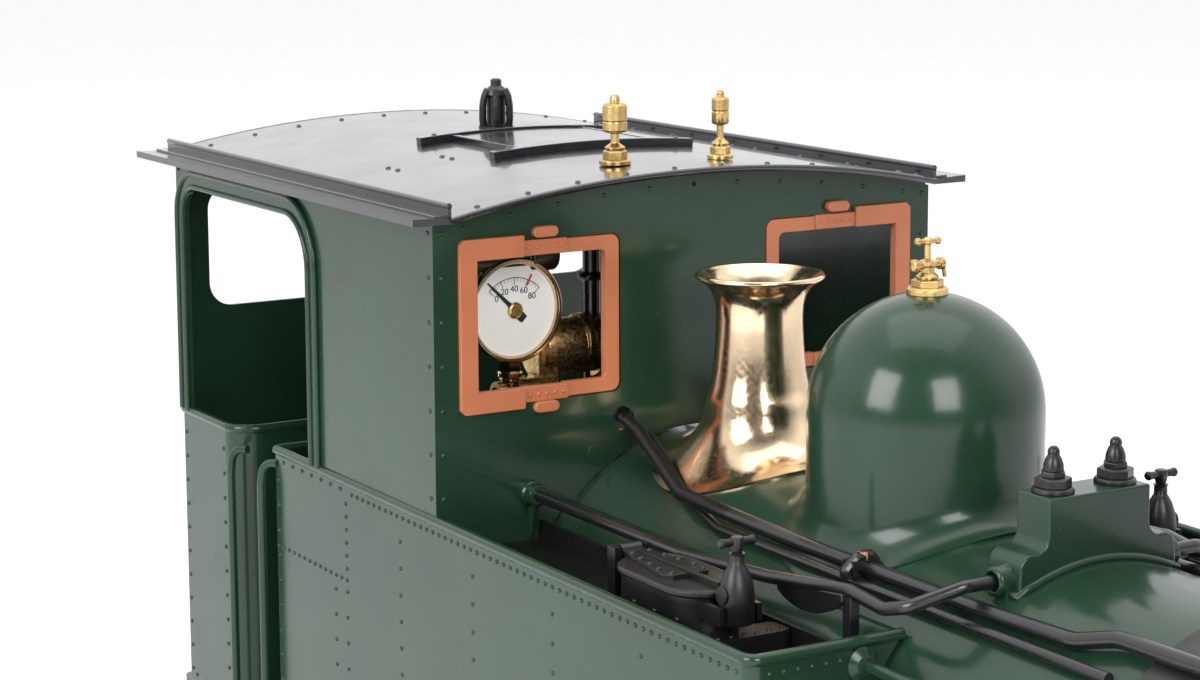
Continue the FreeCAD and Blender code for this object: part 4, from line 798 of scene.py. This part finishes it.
def make_deck_trim():
    """On each deck the angle round its edge, the ledge's rivets, and the filler's ring and rivets."""
    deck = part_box("tank_decks")[0].z / MM + 1.0
    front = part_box("side_tanks")[1].x / MM
    up = (0, 0, 1)
    trim = Shape()
    rim = [(CAB_X + 0.4, -HALF_CAB + 1.0), (front - 1.0, -HALF_CAB + 1.0), (front - 1.0, -32.0)]
    trim.join(tube([Vector((x, y, deck + 0.9)) for x, y in rim], 0.8, 2.0, 8))
    trim.join(block((CAB_X + 0.2, -32.6, deck - 0.1), (front - 1.2, -31.8, deck + 3.4)))
    spots = row((CAB_X + 4.0, -50.4, deck), (front - 4.0, -50.4, deck), 4.0, up)
    ledge = deck + 3.0
    spots += row((FILLER_X + 15.6, -47.6, ledge), (FILLER_X + 15.6, -33.8, ledge), 2.2, up)
    spots += row((FILLER_X + 12.6, -48.2, ledge), (FILLER_X + 12.6, -46.4, ledge), 1.8, up)
    for step in range(7, 24):
        angle = 2 * math.pi * (step + 0.5) / 24 - math.pi / 2
        if math.cos(angle) < 0.75:
            spots.append(((FILLER_X + FILLER_HALF * math.cos(angle) + 7.0 * math.cos(angle),
                           -FILLER_Y + 7.0 * math.sin(angle), deck + 0.8), up))
    wall = LID_RADIUS - 0.7
    for x in (-4.0, 2.0, 8.0):
        reach = wall if abs(x) < FILLER_HALF else math.sqrt(wall ** 2 - (x - FILLER_HALF) ** 2)
        spots.append(((FILLER_X + x, -FILLER_Y - reach, deck + 4.6), (0, -1, 0)))
    trim.join(rivet_field(spots, 0.42))
    loops = [(oval(7.9), deck - 0.1), (oval(7.9), deck + 0.5), (oval(7.6), deck + 0.8),
             (oval(5.7), deck + 0.85), (oval(5.7), deck - 0.1)]
    count = len(loops[0][0])
    points = [(x, y, height) for loop, height in loops for x, y in loop]
    trim.add(points, ring_faces(len(loops), count, closed=True))
    piece("deck_fittings", trim.both(), "cast_black", sharp=50)


# ---------------------------------------------------------------- cab

ROOF_RADIUS = 249.0
ROOF_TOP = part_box("cab_roof")[1].z / MM
RAIL_Y = 51.6


def roof_place(x, y, above=0.0):
    """A spot on the arched roof and its way out; x is from the cab's front."""
    out = Vector((0, y, math.sqrt(ROOF_RADIUS ** 2 - y ** 2))).normalized()
    return Vector((CAB_X + x, 0, ROOF_TOP - ROOF_RADIUS)) + out * (ROOF_RADIUS + above), out


def roof_strip(x0, x1, y0, y1, thick, steps=8, low=-0.1):
    """A flat strip bent to the roof's arch."""
    shape = Shape()
    points = []
    for step in range(steps + 1):
        y = y0 + (y1 - y0) * step / steps
        for x, above in ((x0, low), (x1, low), (x1, thick), (x0, thick)):
            points.append(roof_place(x, y, above)[0])
    faces = ring_faces(steps + 1, 4)
    faces.append([3, 2, 1, 0])
    faces.append([steps * 4 + corner for corner in range(4)])
    return shape.add(points, faces)


def make_roof_trim():
    roof_low, roof_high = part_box("cab_roof")
    rear = roof_low.x / MM - CAB_X
    front = roof_high.x / MM - CAB_X
    rails = Shape()
    for side in (-1, 1):
        base = roof_place(0, RAIL_Y * side)[0].z
        y = RAIL_Y * side
        rails.join(block((CAB_X + rear + 0.4, y - 0.45, base - 0.4), (CAB_X + front - 0.3, y + 0.45, base + 2.0)))
        rails.join(block((CAB_X + rear + 0.4, min(y, y + 3.0 * side), base - 0.3),
                         (CAB_X + front - 0.3, max(y, y + 3.0 * side), base + 0.55)))
        rails.join(tube([(CAB_X + rear + 0.4, y, base + 2.0), (CAB_X + front - 0.3, y, base + 2.0)], 0.62, 1, 10))
    for x0 in (-66.5, -36.5):
        for y0, y1 in ((-22.0, -14.8), (-14.8, 14.8), (14.8, 22.0)):
            rails.join(roof_strip(x0, x0 + 2.0, y0, y1, 1.5))
    for y in (-14.6, 14.6):
        rails.join(roof_strip(-64.6, -36.6, y - 0.5, y + 0.5, 1.2, 2))
    piece("roof_rails", rails, "roof_black", bevel=0.18, replaces=("roof_strips",))

    spots = []
    for step in range(-5, 6):
        for x in (-115.0, 1.5):
            spots.append(roof_place(x, 4.9 + 10.0 * step if step < 5 else 49.0))
    for x in (-48.0, -44.0):
        for y in (-37.4, -26.0, 26.0, 37.4):
            spots.append(roof_place(x, y))
    for x in range(-100, 0, 16):
        for y in (-48.6, 48.6):
            spots.append(roof_place(x, y))
    for x in (-65.5, -35.5):
        for y in (-18.5, 18.5):
            spots.append(roof_place(x, y, 1.5))
    piece("roof_rivets", rivet_field(spots, 0.55, 0.7), "roof_black", sharp=80)

    rim = Shape()
    for x in (rear, front):
        path = [roof_place(x, -RAIL_Y + 2 * RAIL_Y * step / 24, -0.5)[0] for step in range(25)]
        rim.join(tube(path, 0.62, 0.5, 10))
    piece("roof_rims", rim, "roof_black", sharp=60)


def make_cab_rivets():
    spots = []
    out = (0, -1, 0)
    for x in (-1.9, -113.6):
        spots += row(cab(x, -HALF_CAB, 3.5), cab(x, -HALF_CAB, 50.0), 7.5, out)
    spots += row(cab(-106.0, -HALF_CAB, 51.2), cab(-6.0, -HALF_CAB, 51.2), 5.0, out)
    ahead = (1, 0, 0)
    spots += row(cab(0, -HALF_CAB + 1.6, 3.5), cab(0, -HALF_CAB + 1.6, 50.0), 7.5, ahead)
    for step in range(0, 6):
        y = -47.0 + 9.4 * step
        drop = ROOF_RADIUS - math.sqrt(ROOF_RADIUS ** 2 - y ** 2)
        spots.append((cab(0, y, ROOF_TOP - TANK_TOP - drop - 3.4), ahead))
    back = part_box("cab_back")[0].x / MM - CAB_X
    behind = (-1, 0, 0)
    spots += row(cab(back, -HALF_CAB + 2.5, -54.0), cab(back, -HALF_CAB + 2.5, 48.0), 7.5, behind)
    spots += row(cab(back, -46.0, 16.5), cab(back, 0.0, 16.5), 7.0, behind)
    spots += row(cab(back, -46.0, -54.5), cab(back, 0.0, -54.5), 7.0, behind)
    bunker_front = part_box("bunkers")[1].x / MM - CAB_X
    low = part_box("bunkers")[0].z / MM - TANK_TOP
    spots += row(cab(back + 2.0, -HALF_CAB, -5.0), cab(back + 2.0, -HALF_CAB, low + 3), 5.0, out)
    spots += row(cab(back + 4.0, -HALF_CAB, low + 2), cab(bunker_front - 7.0, -HALF_CAB, low + 2), 5.0, out)
    spots += row(cab(bunker_front - 7.0, -HALF_CAB, -5.0), cab(bunker_front - 7.0, -HALF_CAB, low + 3), 5.0, out)
    piece("cab_rivets", rivet_field(mirrored_spots(spots), 0.45, 0.75), "green_paint", sharp=80)


def side_opening(offset, steps=10):
    """The edge of the cab's side opening, this far outside it, from its front foot over to its rear."""
    front = CAB_X - 50.5 + offset
    rear = CAB_X - 110.5 - offset
    top = TANK_TOP + 46.9 + offset
    front_bend = 9.5 + offset
    rear_bend = 6.0 + offset
    points = [(front, TANK_TOP + 0.2)]
    points += arc((front - front_bend, top - front_bend), front_bend, 0, 90, steps)
    points += arc((rear + rear_bend, top - rear_bend), rear_bend, 90, 180, steps)
    return points + [(rear, TANK_TOP + 0.2)]


def make_opening_trim():
    """The raised double bead round the cab's side openings."""
    inner = side_opening(0.0)
    outer = side_opening(3.6)
    band = Shape()
    y = -HALF_CAB
    count = len(inner)
    points = [(x, level, z) for loop, level in ((inner, y + 0.1), (inner, y - 0.45), (outer, y - 0.45), (outer, y + 0.1))
              for x, z in loop]
    faces = []
    for ring in range(4):
        for step in range(count - 1):
            here = ring * count + step
            there = (ring + 1) % 4 * count + step
            faces.append([here, here + 1, there + 1, there])
    faces.append([0, count, 2 * count, 3 * count])
    faces.append([count - 1, 4 * count - 1, 3 * count - 1, 2 * count - 1])
    band.add(points, faces)
    for offset in (0.35, 3.25):
        band.join(tube([(x, y - 0.45, z) for x, z in side_opening(offset)], 0.6, 0.1, 12))
    piece("opening_beads", band.both(), "green_paint", sharp=60)


def bunker_plan(inset, steps=8):
    low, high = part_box("bunkers")
    front = high.x / MM - inset
    outer = -HALF_CAB + inset
    corner = 6.0 - inset
    bend = arc((front - corner, outer + corner), corner, -90, 0, steps)
    return [(low.x / MM, outer)] + bend + [(front, -36.2)]


def make_bunker_trim():
    path = [Vector((x, y, TANK_TOP - 0.2)) for x, y in bunker_plan(0.3)]
    piece("bunker_beads", tube(path, 0.95, 0.4, 14).both(), "green_paint", sharp=60)


def make_windows():
    """Pivoting frames: the outer half lies outside the sheet and the inner half inside."""
    low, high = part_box("window_right")
    outer = low.y / MM
    inner = high.y / MM
    bottom = low.z / MM - TANK_TOP
    top = high.z / MM - TANK_TOP
    glass_low = 21.6
    glass_high = 44.8
    split = -35.5
    for side, sign in SIDES:
        shape = Shape()
        hole = round_rectangle(-44.8, TANK_TOP + glass_low, -18.6, TANK_TOP + glass_high, 1.2)
        rim = round_rectangle(-46.9, TANK_TOP + 19.15, -15.9, TANK_TOP + 47.35, 1.6)
        shape.join(framed(rim, hole, CAB_X - 0.9, CAB_X + 0.1))
        face = CAB_X + 0.9
        outer_half = [(split, bottom), (split, glass_low), (-44.8, glass_low), (-44.8, glass_high),
                      (split, glass_high), (split, top)]
        outer_half += [(outer + 0.9, top), (outer, top - 0.9), (outer, bottom + 0.9), (outer + 0.9, bottom)]
        shape.join(plate([(y, TANK_TOP + z) for y, z in outer_half], CAB_X - 0.1, face))
        inner_half = [(-27.0, bottom), (inner - 0.9, bottom), (inner, bottom + 0.9), (inner, top - 0.9),
                      (inner - 0.9, top), (-27.0, top), (-27.0, glass_high), (-18.6, glass_high),
                      (-18.6, glass_low), (-27.0, glass_low)]
        shape.join(plate([(y, TANK_TOP + z) for y, z in inner_half], CAB_X - 1.8, CAB_X - 0.8))
        for z0, z1 in ((18.9, 21.5), (44.9, 47.6)):
            strip = round_rectangle(split - 0.1, TANK_TOP + z0, -26.6, TANK_TOP + z1, 0.3, 2)
            shape.join(plate(strip, CAB_X - 0.2, CAB_X + 0.45))
            spots = row((CAB_X + 0.45, -34.4, TANK_TOP + (z0 + z1) / 2),
                        (CAB_X + 0.45, -27.7, TANK_TOP + (z0 + z1) / 2), 1.65, (1, 0, 0))
            shape.join(rivet_field(spots, 0.36))
        if sign > 0:
            shape = shape.mirrored()
        piece(f"window_frame_{side}", shape, "terracotta_paint", f"window_{side}", bevel=0.14, sharp=40,
              replaces=(f"window_{side}",))
        tabs = Shape()
        for z in (17.9, 49.0):
            ear = [(y, TANK_TOP + z + h) for y, h in arc((-31.3, 0), 1.0, 90, 270, 8)]
            ear = [(y - 1.5, h) for y, h in ear] + [(2 * -31.3 - y + 1.5, 2 * (TANK_TOP + z) - h) for y, h in ear]
            tabs.join(plate(ear, CAB_X - 0.1, CAB_X + 1.3))
        if sign > 0:
            tabs = tabs.mirrored()
        piece(f"window_pivots_{side}", tabs, "terracotta_paint", bevel=0.3)


def numeral(text, size, place, turn):
    """Generic dial figures facing forward, centred on a place."""
    curve = bpy.data.curves.new("figure", "FONT")
    curve.body = text
    curve.size = size
    curve.align_x = "CENTER"
    curve.align_y = "CENTER"
    curve.extrude = 0.03
    item = bpy.data.objects.new("figure", curve)
    scene.collection.objects.link(item)
    bpy.context.view_layer.update()
    mesh = bpy.data.meshes.new_from_object(item.evaluated_get(bpy.context.evaluated_depsgraph_get()))
    faced = Matrix(((0, 0, 1, 0), (1, 0, 0, 0), (0, 1, 0, 0), (0, 0, 0, 1)))
    matrix = Matrix.Translation(place) @ Matrix.Rotation(turn, 4, "X") @ faced
    shape = Shape().add([matrix @ point.co for point in mesh.vertices], [list(face.vertices) for face in mesh.polygons])
    bpy.data.objects.remove(item)
    return shape


GAUGE_RADIUS = 9.5


def make_gauge():
    low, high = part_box("pressure_gauge")
    x = high.x / MM
    y = (low.y + high.y) / 2 / MM
    z = high.z / MM - GAUGE_RADIUS
    centre = Vector((x, y, z))
    ahead = (1, 0, 0)
    case = lathe([(0, -4.4), (8.4, -4.4), (8.9, -3.9), (8.9, -1.5), (9.2, -1.2), (9.5, -0.9), (9.5, -0.2),
                  (9.25, 0.15), (8.75, 0.2), (8.45, -0.1), (8.3, -0.9), (0, -0.9)], centre, ahead, 72)
    stem = Vector((x - 2.6, y, z))
    case.join(nut(3.6, 9.0, 11.6, stem, (0, 0, -1)))
    case.join(lathe([(0, 11.6), (2.3, 11.6), (2.3, 12.2), (1.7, 12.5), (1.7, 14.8), (0, 14.8)], stem, (0, 0, -1), 32))
    for step in range(4):
        case.join(lathe([(1.6, 12.6 + 0.6 * step), (2.0, 12.8 + 0.6 * step), (1.6, 13.0 + 0.6 * step)],
                        stem, (0, 0, -1), 24))
    piece("gauge_case", case, "polished_brass", sharp=40, replaces=("pressure_gauge",))
    face_x = -0.82
    piece("gauge_dial", disc(8.35, -1.2, face_x, centre, ahead, 72), "dial_white")

    ink = Shape()
    ink_x = face_x + 0.04
    middle = Vector((x, y, z - 1.2))

    def dial(angle, radius, level=ink_x):
        swing = math.radians(angle)
        return middle + Vector((level, radius * math.sin(swing), radius * math.cos(swing)))

    start, stop = -46.0, 46.0
    ring_points = []
    for radius in (7.0, 7.14):
        ring_points.append([dial(start + (stop - start) * step / 60, radius) for step in range(61)])
    scale = Shape()
    inner, outer = ring_points
    scale.add(inner + outer, [[s, s + 1, 61 + s + 1, 61 + s] for s in range(60)])
    ink.join(scale)
    for step in range(17):
        angle = start + (stop - start) * step / 16
        reach = 1.3 if step % 4 == 0 else 0.7
        width = 1.3 if step % 4 == 0 else 0.6
        points = [dial(angle - width / 2, 7.05 - reach), dial(angle + width / 2, 7.05 - reach),
                  dial(angle + width / 2, 7.1), dial(angle - width / 2, 7.1)]
        ink.add(points, [[0, 1, 2, 3]])
    for step, text in enumerate(("0", "20", "40", "60", "80")):
        angle = start + (stop - start) * step / 4
        ink.join(numeral(text, 1.6, dial(angle, 5.0), 0.0))
    piece("gauge_figures", ink, "black_enamel", sharp=30)
    mark = Shape().add([dial(24.0, 6.0, ink_x + 0.03), dial(27.0, 6.0, ink_x + 0.03),
                        dial(27.0, 8.2, ink_x + 0.03), dial(24.0, 8.2, ink_x + 0.03)], [[0, 1, 2, 3]])
    piece("gauge_red_line", mark, "dial_red")

    turn = Matrix.Translation((0, y, z)) @ Matrix.Rotation(math.radians(46), 4, "X")
    tip = x - 0.62
    hand = [(-0.75, -2.6), (0.75, -2.6), (0.85, -1.0), (0.35, 2.0), (0.12, 7.6), (-0.12, 7.6), (-0.35, 2.0), (-0.85, -1.0)]
    needle = plate(hand, tip, tip + 0.2).moved(turn)
    piece("gauge_hand", needle, "black_enamel", "gauge_needle", replaces=("gauge_needle",))
    hub = lathe([(0, 0.0), (1.45, 0.0), (1.45, 0.5), (1.1, 0.75), (0, 0.8)], (tip - 0.1, y, z), ahead, 32)
    piece("gauge_hub", hub, "brass", "gauge_needle", bevel=0.08)


def make_cab_inside():
    """Turret, unions, whistle valve and pipes that show through the front windows."""
    x = CAB_X - 17.0
    z = TANK_TOP + 25.2
    turret = lathe([(0, 0), (3.0, 0.3), (4.4, 1.6), (4.7, 3.4), (4.7, 9.5), (5.2, 9.8), (5.2, 11.2), (4.7, 11.5),
                    (4.7, 33.0), (4.2, 34.0), (0, 34.0)], (x, -24.5, z), (0, 1, 0), 48)
    turret.join(lathe([(0, 0), (2.9, 0), (2.9, 3.0), (3.5, 3.4), (3.5, 5.0), (2.6, 5.4), (2.6, 15.6), (0, 15.6)],
                      (x, 0, z - 15.6), (0, 0, 1), 32))
    for y in (-29.0, -25.6):
        turret.join(nut(3.6, 0, 2.0, (x + 2.0, y, z - 6.4), (0, 1, 0)))
    turret.join(lathe([(0, 0), (2.2, 0), (2.2, 12.0), (0, 12.0)], (x + 4.0, -34.0, z - 8.0), (0, 1, 0), 32))
    piece("steam_turret", turret, "brass", bevel=0.15)
    stub = tube([(x, -21.9, z - 14.0), (x, -21.9, z - 4.0)], 1.3, 1.0, 20)
    piece("copper_stub", stub, "copper", sharp=60)
    pipes = Shape()
    for side in (-1, 1):
        pipes.join(tube([(x + 1.0, side * 14.6, TANK_TOP + 14.2), (x + 14.0, side * 14.6, TANK_TOP + 14.2)], 1.3, 2.0))
        pipes.join(tube([(x - 1.0, side * 11.0, TANK_TOP + 14.0), (x - 1.0, side * 11.0, TANK_TOP + 47.0)], 1.6, 2.0))
        pipes.join(nut(4.4, 0.0, 1.4, (x - 1.0, side * 11.0, TANK_TOP + 36.4)))
    piece("cab_pipes", pipes, "black_paint", sharp=60)
    whistle = lathe([(0, 0), (2.3, 0), (2.3, 19.0), (3.0, 19.4), (3.0, 24.6), (1.8, 25.2), (0, 25.2)],
                    (CAB_X - 12.5, -47.0, TANK_TOP + 42.8), (0, 1, 0), 32)
    whistle.join(disc(1.5, 0.0, 6.0, (CAB_X - 12.5, -25.0, TANK_TOP + 43.5)))
    piece("whistle_valve", whistle, "black_paint", bevel=0.2)
    blanks = Shape()
    for side in (-1, 1):
        blanks.join(disc(2.1, -0.05, 0.25, (CAB_X, side * 20.5, TANK_TOP + 7.9), (1, 0, 0)))
    piece("pipe_hole_blanks", blanks, "green_paint", bevel=0.08)


# ---------------------------------------------------------------- carried-over pieces

FINISH = {
    "cab_roof": "roof_black", "roof_hatch": "roof_black", "smokebox": "smokebox_black",
    "smokebox_door": "smokebox_black", "tank_decks": "cast_black", "safety_valve": "brass",
    "safety_valve_stem": "brass", "cab_fittings": "brass", "regulator_lever": "steel",
}


def dress_cad_nodes():
    slots = {part["node"]: part["material_slot"] for part in frame["record"]["subparts"]}
    for name, item in frame["nodes"].items():
        finish = materials[FINISH.get(name, slots[name])]
        if not item.material_slots:
            item.data.materials.append(finish)
        for slot in item.material_slots:
            slot.material = finish


# ---------------------------------------------------------------- studio

DARK_SIDE = (0.86, -0.51, 0.0)   # the direction in which the room is dim

def make_floor():
    reach = 9000.0
    floor = bpy.data.meshes.new("studio_floor")
    corners = [(-reach, -reach), (reach, -reach), (reach, reach), (-reach, reach)]
    floor.from_pydata([(x * MM, y * MM, 0.0) for x, y in corners], [], [[0, 1, 2, 3]])
    item = bpy.data.objects.new("studio_floor", floor)
    scene.collection.objects.link(item)
    paper = paint("studio_paper", (0.78, 0.78, 0.79), 0.8, peel=0.0, worn=0.01)
    shader = paper.node_tree.nodes["Principled BSDF"]
    shader.inputs["Emission Color"].default_value = (1.0, 1.0, 1.0, 1.0)
    shader.inputs["Emission Strength"].default_value = 0.10
    floor.materials.append(paper)


def soft_box(name, place, target, width, height, power):
    light = bpy.data.lights.new(name, "AREA")
    light.shape = "RECTANGLE"
    light.size = width
    light.size_y = height
    light.energy = power
    item = bpy.data.objects.new(name, light)
    scene.collection.objects.link(item)
    item.location = place
    item.rotation_euler = (Vector(target) - Vector(place)).to_track_quat("-Z", "Y").to_euler()


def make_lights():
    """A bright room behind the engine, dim beside and ahead of it, and square soft boxes."""
    world = bpy.data.worlds.new("studio")
    scene.world = world
    world.use_nodes = True
    tree = world.node_tree
    coordinates = tree.nodes.new("ShaderNodeTexCoord")
    toward_dark = tree.nodes.new("ShaderNodeVectorMath")
    toward_dark.operation = "DOT_PRODUCT"
    toward_dark.inputs[1].default_value = DARK_SIDE
    tree.links.new(coordinates.outputs["Generated"], toward_dark.inputs[0])
    level = tree.nodes.new("ShaderNodeMapRange")
    level.inputs["From Min"].default_value = 0.0
    level.inputs["From Max"].default_value = 0.55
    level.inputs["To Min"].default_value = 1.0
    level.inputs["To Max"].default_value = 0.16
    tree.links.new(toward_dark.outputs["Value"], level.inputs["Value"])
    height = tree.nodes.new("ShaderNodeSeparateXYZ")
    tree.links.new(coordinates.outputs["Generated"], height.inputs["Vector"])
    ceiling = tree.nodes.new("ShaderNodeMapRange")
    ceiling.inputs["From Min"].default_value = 0.08
    ceiling.inputs["From Max"].default_value = 0.35
    ceiling.inputs["To Min"].default_value = 1.0
    ceiling.inputs["To Max"].default_value = 1.45
    tree.links.new(height.outputs["Z"], ceiling.inputs["Value"])
    strength = tree.nodes.new("ShaderNodeMath")
    strength.operation = "MULTIPLY"
    tree.links.new(level.outputs["Result"], strength.inputs[0])
    tree.links.new(ceiling.outputs["Result"], strength.inputs[1])
    tree.links.new(strength.outputs["Value"], tree.nodes["Background"].inputs["Strength"])
    tree.nodes["Background"].inputs["Color"].default_value = (1.0, 1.0, 1.0, 1.0)
    subject = (0.0, 0.0, 0.11)
    soft_box("left_box", (0.15, -1.07, 0.63), subject, 0.55, 0.7, 12.0)
    soft_box("right_box", (1.04, -0.30, 0.63), subject, 0.5, 0.6, 9.0)
    soft_box("top_box", (-0.1, 0.1, 1.5), subject, 1.4, 1.2, 7.0)


def make_camera():
    data = bpy.data.cameras.new("camera")
    data.sensor_width = 36.0
    data.lens = 81.5
    data.shift_x = -0.0072
    data.shift_y = -0.0608
    data.clip_start = 0.01
    data.clip_end = 50.0
    camera = bpy.data.objects.new("camera", data)
    scene.collection.objects.link(camera)
    camera.location = (0.36286, -0.26318, 0.21823)
    forward = Vector((-0.84738, 0.50878, -0.15197)).normalized()
    up = Vector((-0.1282, 0.0817, 0.98838))
    right = forward.cross(up).normalized()
    up = right.cross(forward)
    turn = Matrix((right, up, -forward)).transposed()
    camera.rotation_euler = turn.to_euler()
    scene.camera = camera


scene.view_settings.view_transform = "Standard"
dress_cad_nodes()
make_dome()
make_bonnet()
make_dome_valve()
make_sandbox()
make_whistles()
make_vent()
make_chimney()
make_pipes()
make_sanding_gear()
make_handrails()
make_tank_trim()
for filler_side, sign in SIDES:
    make_filler(filler_side, sign > 0)
make_deck_trim()
make_roof_trim()
make_cab_rivets()
make_opening_trim()
make_bunker_trim()
make_windows()
make_gauge()
make_cab_inside()
make_floor()
make_lights()
make_camera()
